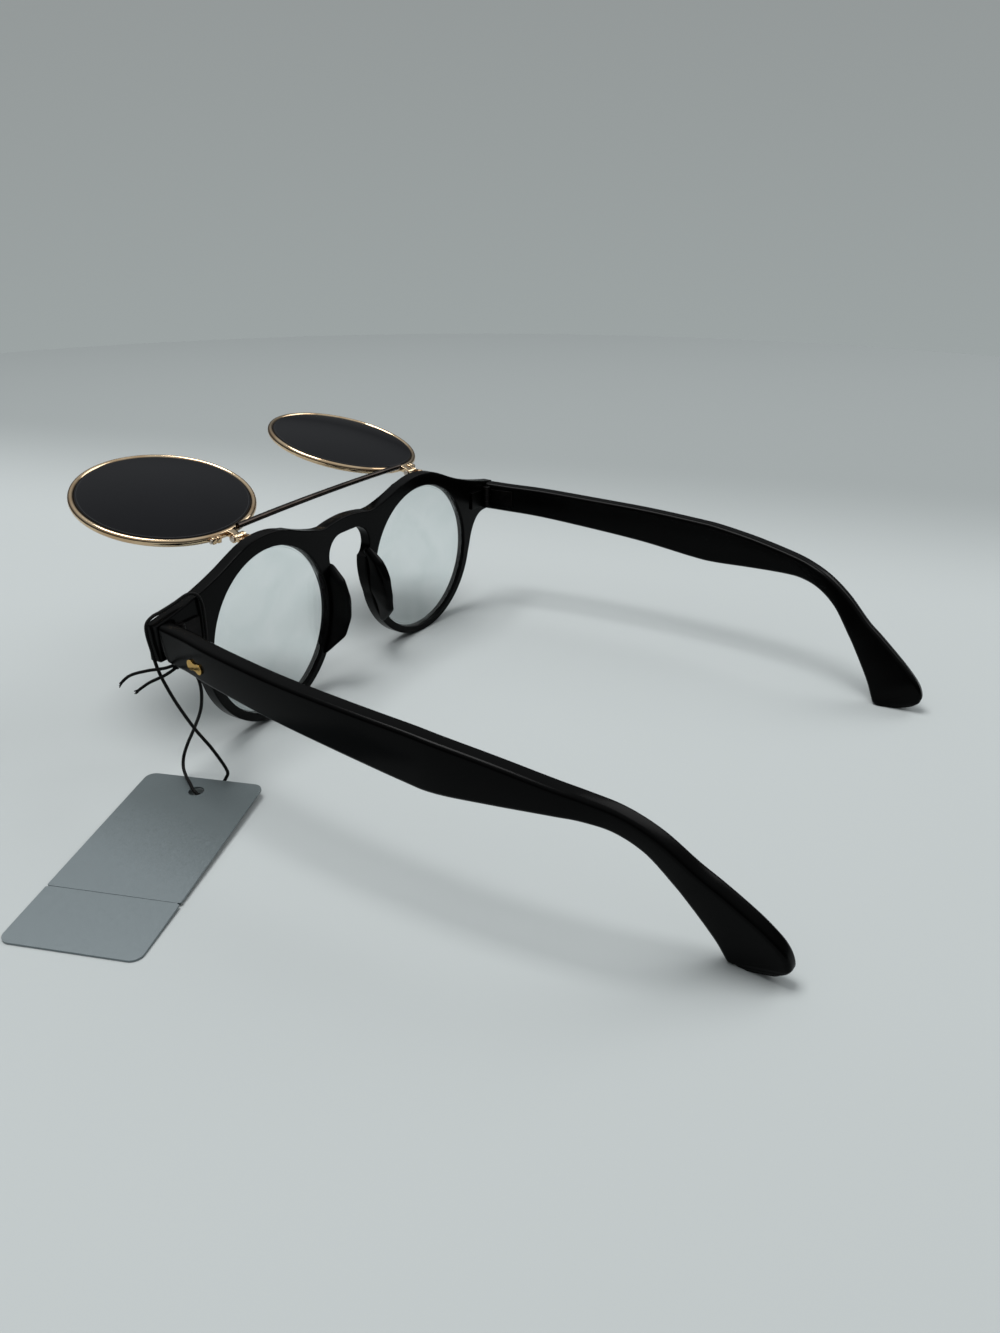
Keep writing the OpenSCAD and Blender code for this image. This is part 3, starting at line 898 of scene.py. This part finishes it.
def softened(node: str, edge: float, name: str) -> Piece:
    """Copies a small CAD node, merges its triangles and rounds its edges.

    Args:
        node: the CAD node.
        edge: width of the rounding, in millimetres.
        name: name of the new piece.

    Returns:
        The piece, in the row frame.
    """
    obj = added(name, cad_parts[node].data.copy())
    obj.data.name = name
    obj.data.transform(Matrix.Scale(1000, 4))
    with edited(closed(obj, 1e-3)):
        bpy.ops.mesh.dissolve_limited(angle_limit=math.radians(1))
    modified(obj, "BEVEL", width=edge, segments=2, limit_method="ANGLE", angle_limit=math.radians(50))
    modified(obj, "TRIANGULATE")
    modified(smoothed(obj, 40), "WEIGHTED_NORMAL", keep_sharp=True)
    obj.data.transform(Matrix.Scale(0.001, 4))
    return obj


# Studio


@dataclass
class Studio:
    """The camera at the photograph's place, a pale floor and soft lamps."""

    camera_at: Point = (209.447, 174.532, 106.652)
    yaw: float = -2.60042
    pitch: float = -0.45257
    roll: float = 0.00318
    focal: float = 27.0
    sensor: float = 36.0
    floor_r: float = 0.75
    wall_way: Point = (-0.97, -0.25, 0)
    fade: Point = (0.11, 0.28)
    edge_fade: Point = (0.45, 0.7)
    room_low: Point = (0.05, 0.12)
    room_high: float = 0.9
    overhead: Point = (0.25, 0.9)
    wall_shade_span: Point = (-0.15, 0.2)
    near: str = "#B9BEBE"
    far: str = "#9A9F9F"
    sky: str = "#E9EEF0"
    wall_low: str = "#9DA4A4"
    wall_high: str = "#929797"
    strength: float = 0.85
    aim: Point = (0, 0, 0.02)

    def place_camera(self) -> None:
        """Puts the camera where the photograph was taken from."""
        data = bpy.data.cameras.new("photo_camera")
        data.lens = self.focal
        data.sensor_width = self.sensor
        data.clip_start = 0.01
        data.clip_end = 20.0
        camera = added("photo_camera", data)
        ahead = Vector((
            math.cos(self.pitch) * math.cos(self.yaw),
            math.cos(self.pitch) * math.sin(self.yaw),
            math.sin(self.pitch),
        ))
        right = ahead.cross(Vector((0, 0, 1))).normalized()
        up = right.cross(ahead)
        level, tilt = math.cos(self.roll), math.sin(self.roll)
        across, rise = right * level + up * tilt, up * level - right * tilt
        turn = Matrix((across, rise, -ahead)).transposed().to_4x4()
        camera.matrix_world = Matrix.Translation(PLACE.to_row() @ Vector(self.camera_at)) @ turn
        bpy.context.scene.camera = camera

    def floor_finish(self) -> Material:
        """Makes the floor's paper, with painted shade that greys it towards the wall and towards its edge.

        Returns:
            The material.
        """
        mix = Recipe("studio_paper")
        spot = mix.spot()
        along = mix.node("ShaderNodeVectorMath", {0: spot, 1: self.wall_way}, operation="DOT_PRODUCT")
        reach = mix.node("ShaderNodeVectorMath", {0: spot}, operation="LENGTH")
        parts = [
            mix.ranged(node.outputs["Value"], *span, interpolation_type="SMOOTHSTEP")
            for node, span in ((along, self.fade), (reach, self.edge_fade))
        ]
        mix.shade(
            # Painted shade: the paper's colour greys towards the wall and towards the floor's edge.
            Base_Color=mix.spread(mix.reckoned("MAXIMUM", *parts), self.near, self.far, 0.0, 1.0),
            Roughness=0.9,
            Specular_IOR_Level=0.1,
        )
        return mix.material

    def lay_floor(self) -> None:
        """Lays the floor that the glasses stand on."""
        floor = started(
            "studio_floor", bpy.ops.mesh.primitive_circle_add,
            vertices=128, radius=self.floor_r, fill_type="NGON",
        )
        dressed(floor, self.floor_finish())

    def lamp(self, name: str, spot: Point, size: float, power: float) -> None:
        """Hangs one soft lamp that faces the glasses.

        Args:
            name: its name.
            spot: its place, in metres.
            size: its width, in metres.
            power: its power, in watts.
        """
        data = bpy.data.lights.new(name, "AREA")
        data.size = size
        data.energy = power
        lamp = added(name, data)
        lamp.location = spot
        lamp.rotation_euler = (Vector(self.aim) - Vector(spot)).to_track_quat("-Z", "Y").to_euler()

    def light(self) -> None:
        """Sets up the lamps and a room that is bright overhead and dim at eye level."""
        world = bpy.data.worlds.new("studio")
        world.use_nodes = True
        bpy.context.scene.world = world
        room = Wiring(world.node_tree)
        way = room.node("ShaderNodeTexCoord").outputs["Generated"]
        height = room.node("ShaderNodeSeparateXYZ", {"Vector": way}).outputs["Z"]
        toward = room.node("ShaderNodeVectorMath", {0: way, 1: self.wall_way}, operation="DOT_PRODUCT")
        side = room.ranged(toward.outputs["Value"], -0.5, 0.5, *self.room_low)
        lit = room.ranged(room.ranged(height, *self.overhead), 0, 1, side, self.room_high)
        power = room.reckoned("MULTIPLY", lit, self.strength)
        glow = room.node("ShaderNodeBackground", {"Color": linear(self.sky), "Strength": power})
        # The wall seen by the camera darkens upwards: painted shade.
        tones = {6: linear(self.wall_low), 7: linear(self.wall_high)}
        rise = room.ranged(height, *self.wall_shade_span)
        tone = room.node("ShaderNodeMix", {"Factor": rise, **tones}, data_type="RGBA").outputs[2]
        wall = room.node("ShaderNodeBackground", {"Color": tone})
        path = room.node("ShaderNodeLightPath").outputs
        seen = room.reckoned("MAXIMUM", path["Is Camera Ray"], path["Is Transmission Ray"])
        mix = room.node("ShaderNodeMixShader", {"Fac": seen, 1: glow.outputs[0], 2: wall.outputs[0]})
        room.put(room.tree.nodes["World Output"].inputs["Surface"], mix.outputs[0])
        self.lamp("ceiling_panel", (0.1, -0.35, 1.3), size=0.6, power=12)
        self.lamp("side_panel", (-1.0, 0.5, 0.9), size=0.8, power=5)
        bpy.context.scene.view_settings.view_transform = "Standard"


# The tag and its cord


@dataclass
class TagCord:
    """The black cord: its loop over the end piece and through the tag, knot and two tails."""

    finishes: Finishes
    radius: float = 0.4
    knot_at: Point = (69.2, 2.6, 5.2)
    route: Sequence[Point] = (
        (69.3, 3.4, 5.3), (69.5, 6, 5.5), (69.8, 8.6, 5.3), (70, 10.4, 3.8),
        (70, 10.7, 0.5), (69.7, 9.2, -4.5), (69.3, 5.8, -10.3), (69.4, 2.5, -15.8),
        (69.9, 1, -19.6), (71.3, 2, -21.6), (73.6, 5.4, -21.9), (75.2, 8.3, -21.9),
        (76.2, 10.4, -22.6), (76.1, 12, -23.4), (74.8, 13.1, -23.8), (72, 13.1, -23.9),
        (69.8, 12.8, -23.7), (68.5, 13.2, -22.5), (68.5, 13.9, -20), (71.2, 12.9, -13),
        (72.6, 9.5, -7.8), (73.2, 4.9, -1.4), (73.3, 1.3, 4.8), (73.2, -0.3, 10.4),
        (73.3, -0.8, 14), (72.8, -1, 16.1), (71, -1, 17.2), (68.4, -0.9, 17.6),
        (64.4, -0.5, 18.5), (61.2, 0.4, 19.7), (59.4, 1.5, 19.1), (58.6, 1.9, 16.6),
        (58.4, 1.8, 13), (58.6, 1.8, 8), (59.8, 1.9, 3), (62.6, 2.3, 0.8),
        (66, 2.6, 2.6), (68.4, 2.6, 4.6),
    )
    tail_a: Sequence[Point] = (
        (70, 2.6, 5.5), (72.6, 2.5, 5.8), (76.4, 1.2, 6.4), (80.4, 0, 6.5), (83.3, -0.6, 4.9),
    )
    tail_b: Sequence[Point] = ((69.9, 2.7, 4.6), (73.3, 2.9, 4.3), (77, 1.8, 3.7), (80.7, 1, 2.4))
    loop_sides: int = 12
    tail_sides: int = 10
    knot_steps: int = 96
    knot_ring: Point = (0.42, 0.17)
    knot_flat: Point = (0.9, 0.4)
    knot_size: float = 1.15
    strands: int = 6
    strand_r: float = 0.13
    strand_off: float = 0.12
    strand_spread: Point = (0.08, 0.2)
    strand_flare: float = 1.6
    strand_lean: float = 0.25
    strand_turn: float = 0.4
    whole_share: float = 0.86
    taper: float = 0.12

    def line(self, route: Sequence[Point], steps: int) -> list[Vector]:
        """A smooth centreline through a route, in millimetres at the front."""
        return [Vector(p) for p in smooth_rows(route, steps)]

    def loop(self) -> tuple[Piece, list[Vector]]:
        """Makes the loop from the knot round to the knot again.

        Returns:
            The piece and its centreline in metres in the row frame.
        """
        path = self.line(self.route, 6)
        tube = tube_mesh("tag_cord_loop", path, [self.radius] * len(path), self.loop_sides)
        obj = dressed(seated(tube, IN_PLACE), self.finishes.cord)
        return obj, [PLACE.to_row() @ p for p in path]

    def knot(self) -> Piece:
        """Makes the overhand knot as two tight crossing turns of cord.

        Returns:
            The piece.
        """
        path = []
        for i in range(self.knot_steps + 1):
            turn = math.tau * i / self.knot_steps
            ring = self.knot_ring[0] + self.knot_ring[1] * math.cos(3 * turn)
            wide, tall = self.knot_flat
            path.append(Vector(self.knot_at) + Vector((
                ring * math.cos(2 * turn), wide * ring * math.sin(2 * turn), tall * math.sin(3 * turn),
            )) * self.knot_size)
        tube = tube_mesh("tag_cord_knot", path, [self.radius] * len(path), self.tail_sides)
        return dressed(seated(tube, IN_PLACE), self.finishes.cord)

    def tail(self, name: str, route: Sequence[Point], seed: int) -> Piece:
        """Makes one tail, whose last part is frayed into strands.

        Args:
            name: name of the piece.
            route: the tail's centreline.
            seed: start of the random spread of its strands.

        Returns:
            The piece.
        """
        rand = random.Random(seed)
        path = self.line(route, 8)
        whole = int(len(path) * self.whole_share)
        radii = [self.radius * (1 - self.taper * i / whole) for i in range(whole + 1)]
        parts = [tube_mesh(name, path[: whole + 1], radii, self.tail_sides)]
        for k in range(self.strands):
            turn = math.tau * k / self.strands + rand.uniform(-self.strand_turn, self.strand_turn)
            wide = rand.uniform(*self.strand_spread)
            strand = []
            length = len(path) - whole - rand.randint(0, 2)
            for i in range(length):
                t = i / max(length - 1, 1)
                away = self.strand_off + wide * t * self.strand_flare
                way = Vector((self.strand_lean, math.cos(turn), math.sin(turn)))
                strand.append(path[whole - 1 + i] + way * away)
            parts.append(tube_mesh(f"{name}_{k}", strand, [self.strand_r] * len(strand), 6))
        return dressed(seated(joined(name, parts), IN_PLACE), self.finishes.cord)

    def build(self, tag: Piece) -> None:
        """Args:
            tag: the swing tag that hangs on the cord; not used.
        """
        loop, path = self.loop()
        knot = self.knot()
        tails = [
            self.tail("tag_cord_tail_a", self.tail_a, seed=3),
            self.tail("tag_cord_tail_b", self.tail_b, seed=8),
        ]
        nodes = ("tag_cord", "tag_knot", "tag_tail_a", "tag_tail_b")
        for piece, node in zip((loop, knot, *tails), nodes):
            handed_over(piece, Body.FRONT, Slot.CORD, node)


@dataclass
class SwingTag:
    """The blank card tag with its hole, and its scored line with a notch at each end."""

    finishes: Finishes
    edge: float = 0.08

    def build(self) -> Piece:
        """Makes the tag from its solid, with its cut edges rounded.

        Returns:
            The piece.
        """
        obj = dressed(softened("swing_tag", self.edge, "card_tag"), self.finishes.card)
        return handed_over(obj, Body.FRONT, Slot.CARD, "swing_tag")


# The front


@dataclass
class Front:
    """The black front with its keyhole bridge, nose pads and clear lenses."""

    finishes: Finishes
    thick: float = 3.6
    lens_r: float = 22.5
    rim_r: float = 25.6
    rim_rise: float = 0.9
    half_w: float = 72.4
    edge: float = 0.35
    keyhole: Point = (3.2, 12.1, 5.7)
    straight_from: float = 8.0
    pad_balls: Sequence[Point] = (
        (8.5, -1.6, 9.2, 1.4), (8.8, 1.6, 5.6, 1.8), (9.5, 3.5, 1, 2), (10.3, 3.9, -3.6, 2),
        (11.6, 3, -8.2, 1.9), (14, -1.6, -13.6, 1.5), (9.7, -1.8, -1.6, 1.7),
    )
    pad_skin: float = 0.05
    pad_margin: float = 1.2

    def outline(self) -> list[tuple[float, float]]:
        """Left half of the outline, from the top of the bridge round to the top of the keyhole.

        Returns:
            X and Z of each point.
        """
        hub = (PLACE.lens_x, self.rim_rise)
        points = bend((0, 22.2), (5, 22.1), (9.5, 21.15), 8)
        points += bend((10.5, 21.1), (16.5, 22), (24.2, 25.02), 10)[1:]
        points += arc(hub, self.rim_r, 107, 68, 16)
        points += bend((44.6, 24.1), (56, 18.6), (self.half_w, 15.8), 18)[1:]
        points += [(self.half_w, 6.9)]
        points += bend((67.6, 6.8), (61.6, 6.6), (59.15, -3), 14)
        points += arc(hub, self.rim_r, -13, -169, 84)[1:]
        points += bend((7.95, -3), (5.9, 3.5), (6.7, 7.9), 12)[1:]
        points += arc(self.keyhole[:2], self.keyhole[2], -46, 90, 22)[1:]
        points += [(0, self.keyhole[1] + self.keyhole[2])]
        return points

    def bowed(self, obj: Piece) -> None:
        """Turns both halves of the flat front back, with a soft bend at the bridge.

        Args:
            obj: the flat front, in millimetres.
        """
        sine, cosine = math.sin(PLACE.wrap), math.cos(PLACE.wrap)
        for vertex in obj.data.vertices:
            x, y, z = vertex.co
            reach = abs(x)
            if reach < self.straight_from:
                reach = reach * reach / (2 * self.straight_from) + self.straight_from / 2
            share = min(abs(x) / self.straight_from, 1)
            back = (reach - PLACE.lens_x) * sine + y * cosine
            wide = PLACE.lens_x + (abs(x) - PLACE.lens_x) * cosine - y * sine * share
            wide -= PLACE.lens_x * (1 - cosine) * (1 - share)
            vertex.co = (math.copysign(wide, x) if abs(x) > 1e-6 else 0, back, z)

    def plate(self) -> Piece:
        """Makes the front from its outline and the two lens openings, with rounded edges.

        Returns:
            The piece, in millimetres at the front.
        """
        left = self.outline()
        whole = left + [(-x, z) for x, z in reversed(left)][1:-1]
        flat = bpy.data.curves.new("front_outline", "CURVE")
        flat.dimensions = "2D"
        flat.fill_mode = "BOTH"
        flat.bevel_depth = self.edge
        flat.bevel_resolution = 3
        flat.extrude = self.thick / 2 - self.edge
        flat.offset = -self.edge
        rings = [whole]
        turns = [math.tau * i / 144 for i in range(144)]
        for sign in (1, -1):
            rings.append([
                (sign * PLACE.lens_x + self.lens_r * math.cos(t), self.lens_r * math.sin(t)) for t in turns
            ])
        for ring in rings:
            spline = flat.splines.new("POLY")
            spline.points.add(len(ring) - 1)
            for point, (x, z) in zip(spline.points, ring):
                point.co = (x, z, 0, 1)
            spline.use_cyclic_u = True
        only(added("front_plate", flat))
        bpy.ops.object.convert(target="MESH")
        obj = bpy.context.object
        obj.data.transform(Matrix.Translation((0, -self.thick / 2, 0)) @ FORWARDS)
        closed(obj, 2e-3)
        for x in range(-8, 9, 2):
            with edited(obj):
                bpy.ops.mesh.bisect(plane_co=(x, 0, 0), plane_no=(1, 0, 0))
        self.bowed(obj)
        return closed(obj, 1e-3)

    def pad(self) -> Piece:
        """Models the left nose pad: a skin over seven balls, cut clear of the lens.

        Returns:
            The pad, in millimetres at the front.
        """
        parts = [
            started(
                f"pad_ball_{i}", bpy.ops.mesh.primitive_uv_sphere_add, segments=32, ring_count=16,
                radius=r + self.pad_skin, location=(x, y, z),
            )
            for i, (x, y, z, r) in enumerate(self.pad_balls)
        ]
        obj = joined("nose_pad", parts)
        with edited(obj):
            bpy.ops.mesh.convex_hull()
        modified(obj, "REMESH", mode="VOXEL", voxel_size=0.3)
        modified(obj, "SMOOTH", factor=0.8, iterations=24)
        drill = started(
            "lens_drill", bpy.ops.mesh.primitive_cylinder_add,
            vertices=160, radius=self.lens_r + self.pad_margin, depth=30,
        )
        drill.data.transform(
            PLACE.turned_half() @ Matrix.Translation((PLACE.lens_x, 0, 0)) @ FORWARDS
        )
        modified(obj, "BOOLEAN", object=drill, operation="DIFFERENCE", solver="EXACT")
        bpy.data.objects.remove(drill)
        return closed(obj, 1e-3)

    def lens(self, side: Side) -> Piece:
        """Makes one clear lens with its ground edge.

        Args:
            side: its side.

        Returns:
            The piece, in the row frame.
        """
        lens = LensForm(self.lens_r, bevel=0.6, thick=2.0, rise=1.9)
        obj = lens.make(f"clear_lens_{side.word}_polished")
        there = Matrix.Translation((PLACE.lens_x, -self.thick / 2, 0))
        seated(obj, PLACE.mirrored(side) @ PLACE.turned_half() @ there @ FORWARDS)
        obj.visible_shadow = False
        # The ground edge's pale tone is a painted highlight.
        return dressed(obj, self.finishes.clear, self.finishes.edge)

    def build(self) -> None:
        """Makes the front's pieces."""
        pad = self.pad()
        other = added("nose_pad_right", pad.data.copy())
        other.data.transform(PLACE.mirrored(Side.RIGHT))
        other.data.flip_normals()
        plate = joined("front_moulding", [self.plate(), pad, other])
        smoothed(plate, 36)
        modified(plate, "WEIGHTED_NORMAL", keep_sharp=True)
        seated(plate, IN_PLACE)
        dressed(plate, self.finishes.plastic)
        handed_over(plate, Body.FRONT, Slot.PLASTIC, "front_frame")
        for side in Side:
            handed_over(self.lens(side), Body.FRONT, Slot.CLEAR, f"clear_lens_{side.word}")


@dataclass(frozen=True)
class LensForm:
    """A domed lens whose bevelled edge sits in a groove, in millimetres."""

    inner_r: float
    bevel: float
    thick: float
    rise: float
    rows: int = 14
    ground: float = 0.5
    gap: float = 0.05

    def make(self, name: str) -> Piece:
        """Turns the lens about Z, bulging towards +Z.

        Args:
            name: name of the piece.

        Returns:
            The lens; the faces of its ground edge have material index 1.
        """
        open_r = self.inner_r - self.gap
        rim = open_r - self.ground
        curve = (open_r**2 + self.rise**2) / (2 * self.rise)
        reach = [open_r * (1 - (i / self.rows) ** 1.5) for i in range(self.rows + 1)]
        reach.insert(1, rim)
        sag = [(q, math.sqrt(curve**2 - q * q) - curve + self.rise) for q in reach]
        front = [(q, z + self.thick / 2) for q, z in sag]
        back = [(q, z - self.thick / 2) for q, z in reversed(sag)]
        obj = spun(name, [(self.inner_r + self.bevel, 0), *front, *back])
        for polygon in obj.data.polygons:
            centre = polygon.center
            polygon.material_index = int(math.hypot(centre.x, centre.y) > rim)
        return smoothed(obj, 30)


# The flip-up lenses


@dataclass
class FlipLenses:
    """The dark lenses in their gold rims, with clamps and the brow bar."""

    finishes: Finishes
    rim_r: float = 22.7
    wire_w: float = 1.6
    wire_d: float = 2.0
    lug: Point = (2.6, 1.5, 1.7)
    lug_sunk: float = 0.3
    lug_edge: float = 0.22
    slit: float = 0.2
    bar_d: float = 1.6
    bar_half: float = 34.6
    bar_y: float = -7.4
    bar_z: float = 22.9
    bar_bow: float = 0.8
    bar_steps: int = 48
    bar_sides: int = 20

    def rim(self, side: Side) -> Piece:
        """Makes one round rim with its two clamp lugs.

        Args:
            side: its side.

        Returns:
            The piece, in the row frame.
        """
        ring = started(
            "rim", bpy.ops.mesh.primitive_torus_add, major_segments=180, minor_segments=20,
            major_radius=self.rim_r, minor_radius=self.wire_w / 2,
        )
        ring.data.transform(Matrix.Diagonal((1, 1, self.wire_d / self.wire_w, 1)))
        parts = [ring]
        at_rim = Matrix.Translation((0, self.rim_r + self.wire_w / 2, 0))
        tall, deep = self.lug[1:]
        wide = (self.lug[0] - self.slit) / 2
        for sign in (1, -1):
            lug = started(
                "lug", bpy.ops.mesh.primitive_cube_add, size=1, scale=(wide, tall, deep),
                location=(sign * (wide + self.slit) / 2, tall / 2 - self.lug_sunk, 0),
            )
            modified(lug, "BEVEL", width=self.lug_edge, segments=3)
            lug.data.transform(Matrix.Rotation(PLACE.lug_turn, 4, "Z") @ at_rim)
            parts.append(lug)
        obj = smoothed(joined(f"flip_rim_{side.word}_wire", parts), 50)
        seated(obj, PLACE.mirrored(side) @ PLACE.swung_up() @ PLACE.at_rim())
        return dressed(obj, self.finishes.gold)

    def lens(self, side: Side) -> Piece:
        """Makes one dark lens.

        Args:
            side: its side.

        Returns:
            The piece, in the row frame.
        """
        lens = LensForm(self.rim_r - self.wire_w / 2, bevel=0.4, thick=1.6, rise=2.0)
        obj = lens.make(f"dark_lens_{side.word}_tinted")
        seated(obj, PLACE.mirrored(side) @ PLACE.swung_up() @ PLACE.at_rim())
        # The dark lens's edge ring is black: a painted shadow of the groove.
        return dressed(obj, self.finishes.dark, self.finishes.dark_edge)

    def bar(self) -> Piece:
        """Makes the slightly bowed brow bar.

        Returns:
            The piece, in the row frame.
        """
        half, y, high = self.bar_half, self.bar_y, self.bar_z
        line = bend((-half, y, high), (0, y, high - 2 * self.bar_bow), (half, y, high), self.bar_steps)
        rings = [
            [
                Vector((x, y + self.bar_d / 2 * math.cos(t), z + self.bar_d / 2 * math.sin(t)))
                for t in (math.tau * j / self.bar_sides for j in range(self.bar_sides))
            ]
            for x, y, z in line
        ]
        obj = smoothed(lofted("brow_bar", rings), 50)
        seated(obj, PLACE.swung_up())
        # The brow bar's dark tone is painted shade on its gold wire.
        return dressed(obj, self.finishes.gold_painted_dim)

    def build(self) -> None:
        """Makes the flip-up pieces."""
        for side in Side:
            word = side.word
            handed_over(self.rim(side), Body.FLIP, Slot.GOLD, f"flip_rim_{word}")
            handed_over(self.lens(side), Body.FLIP, Slot.DARK, f"dark_lens_{word}")
        handed_over(self.bar(), Body.FLIP, Slot.GOLD, "flip_bar")


# The temples


@dataclass
class Temple:
    """One temple with its drop end.

    A row gives the place along the temple, the middle's height, the height of the section, the
    way that it has curved inwards and its thickness.
    """

    finishes: Finishes
    side: Side
    lean: float
    outer: float = 5.5
    corner: float = 1.1
    corner_steps: int = 5
    joint_y: float = 0.3
    mitre_at: Point = (71.0, 0.3, 6.9)
    mitre_turn: Point = (18, -32)
    steps: int = 12
    rows: Sequence[Point] = (
        (-4, 11.5, 8.8, 0, 4.2), (7, 11.3, 8.8, 0, 4.2), (19, 10.9, 9.1, -0.6, 4.2),
        (37.5, 9.9, 9.8, -0.2, 4.2), (55.5, 9, 10.7, 1.2, 4.2), (72, 7.8, 11.7, 3.4, 4.2),
        (79, 7.4, 11.5, 4.4, 4.2), (90, 7.2, 9.3, 6.9, 4.2), (101.4, 6.7, 6.5, 10, 4.2),
        (107.4, 6, 5.3, 12.4, 4), (113.1, 4.2, 4.8, 15.2, 4), (118.8, 0.4, 5.1, 18, 4),
        (124.4, -5.6, 6.5, 20.8, 4), (127.8, -9.1, 8.1, 22.3, 4), (131.2, -12.8, 9.8, 23.8, 4),
        (134.3, -16.4, 11.5, 25.2, 3.9), (136.5, -19.4, 12.9, 26.2, 3.8), (137.7, -21.4, 13.2, 26.7, 3.6),
        (138.2, -22.7, 12.2, 27, 3.3), (138.5, -23.6, 10, 27.1, 2.8), (138.7, -24.2, 6.8, 27.2, 2.2),
    )

    def rings(self) -> list[list[Vector]]:
        """Cross-sections along the temple, measured from the hinge axis."""
        rows = smooth_rows(self.rows, self.steps)
        line = [Vector((self.outer - r[4] / 2 - r[3], r[0], r[1])) for r in rows]
        out = []
        for i, row in enumerate(rows):
            head = (line[min(i + 1, len(line) - 1)] - line[max(i - 1, 0)]).normalized()
            up = Vector((0, -head.z, head.y)).normalized()
            side = head.cross(up).normalized()
            round_r = min(self.corner, row[4] / 2 - 0.1)
            ring = []
            for quarter in range(4):
                sx = 1 if quarter in (0, 3) else -1
                sz = 1 if quarter < 2 else -1
                for k in range(self.corner_steps + 1):
                    turn = math.radians(quarter * 90 + 90 * k / self.corner_steps)
                    wide = sx * (row[4] / 2 - round_r) + round_r * math.cos(turn)
                    tall = sz * (row[2] / 2 - round_r) + round_r * math.sin(turn)
                    ring.append(line[i] + side * wide + up * tall)
            out.append(ring)
        return out

    def build(self) -> None:
        """Lofts the temple, cuts its front end and its foot, and seats it."""
        word = self.side.word
        obj = lofted(f"temple_{word}_moulding", self.rings())
        obj.data.transform(PLACE.opened(self.lean))
        half = PLACE.turned_half()
        flat = half.to_3x3()
        cut_off(obj, half @ Vector((PLACE.hinge_x, self.joint_y, 0)), flat @ Vector((0, -1, 0)))
        lean, turn = (math.radians(angle) for angle in self.mitre_turn)
        mitre = flat @ (Matrix.Rotation(lean, 3, "Y") @ Matrix.Rotation(turn, 3, "Z"))
        cut_off(obj, half @ Vector(self.mitre_at), -(mitre @ Vector((-1, 0, 0))))
        cut_off(obj, (0, 0, -PLACE.lens_z), (0, 0, -1))
        modified(
            closed(obj, 1e-3), "BEVEL",
            width=0.3, segments=3, limit_method="ANGLE", angle_limit=math.radians(40),
        )
        smoothed(obj)
        seated(obj, PLACE.mirrored(self.side))
        dressed(obj, self.finishes.plastic)
        handed_over(obj, self.side.temple, Slot.PLASTIC, f"temple_{word}")


# Small metal parts


@dataclass
class Hardware:
    """Hinges, screws, brackets, knuckles and plates, made from their solids."""

    finishes: Finishes
    plate_lift: float = 2e-4

    def build(self) -> None:
        """Makes every small metal piece with its edges softened."""
        for side in Side:
            gold, screw = self.finishes.gold, self.finishes.screw
            kinds = (
                # Hinge leaves and hinge screws take the near-black steel, whose tone is painted shade.
                ("front_hinge", 0.08, self.finishes.hinge, Slot.HINGE, Body.FRONT),
                ("hinge_screw", 0.06, self.finishes.hinge, Slot.SCREW, Body.FRONT),
                ("flip_bracket", 0.1, gold, Slot.GOLD, Body.FRONT),
                ("bracket_screw", 0.06, screw, Slot.SCREW, Body.FRONT),
                ("flip_pin", 0.08, screw, Slot.SCREW, Body.FRONT),
                ("flip_knuckle", 0.1, gold, Slot.GOLD, Body.FLIP),
                ("rim_screw", 0.06, screw, Slot.SCREW, Body.FLIP),
                ("temple_hinge", 0.08, self.finishes.hinge, Slot.HINGE, side.temple),
                ("temple_plate", 0.06, self.finishes.brass, Slot.GOLD, side.temple),
                ("temple_core", 0.1, self.finishes.core, Slot.CORE, side.temple),
            )
            for kind, edge, material, slot, body in kinds:
                node = f"{kind}_{side.word}"
                obj = softened(node, edge, f"{node}_metal")
                if kind == "temple_plate":
                    obj.data.transform(Matrix.Translation((side.value * self.plate_lift, 0, 0)))
                dressed(obj, material)
                handed_over(obj, body, slot, node)


def main() -> None:
    """Builds the scene in the order of the object's sub-assemblies."""
    logging.basicConfig(level=logging.INFO, format="%(name)s: %(message)s")
    studio = Studio()
    studio.place_camera()
    finishes = Finishes()
    tag = SwingTag(finishes).build()
    TagCord(finishes).build(tag)
    studio.lay_floor()
    studio.light()
    Front(finishes).build()
    FlipLenses(finishes).build()
    Temple(finishes, Side.LEFT, 8.1).build()
    Temple(finishes, Side.RIGHT, 5.7).build()
    Hardware(finishes).build()


if __name__ == "__main__":
    main()
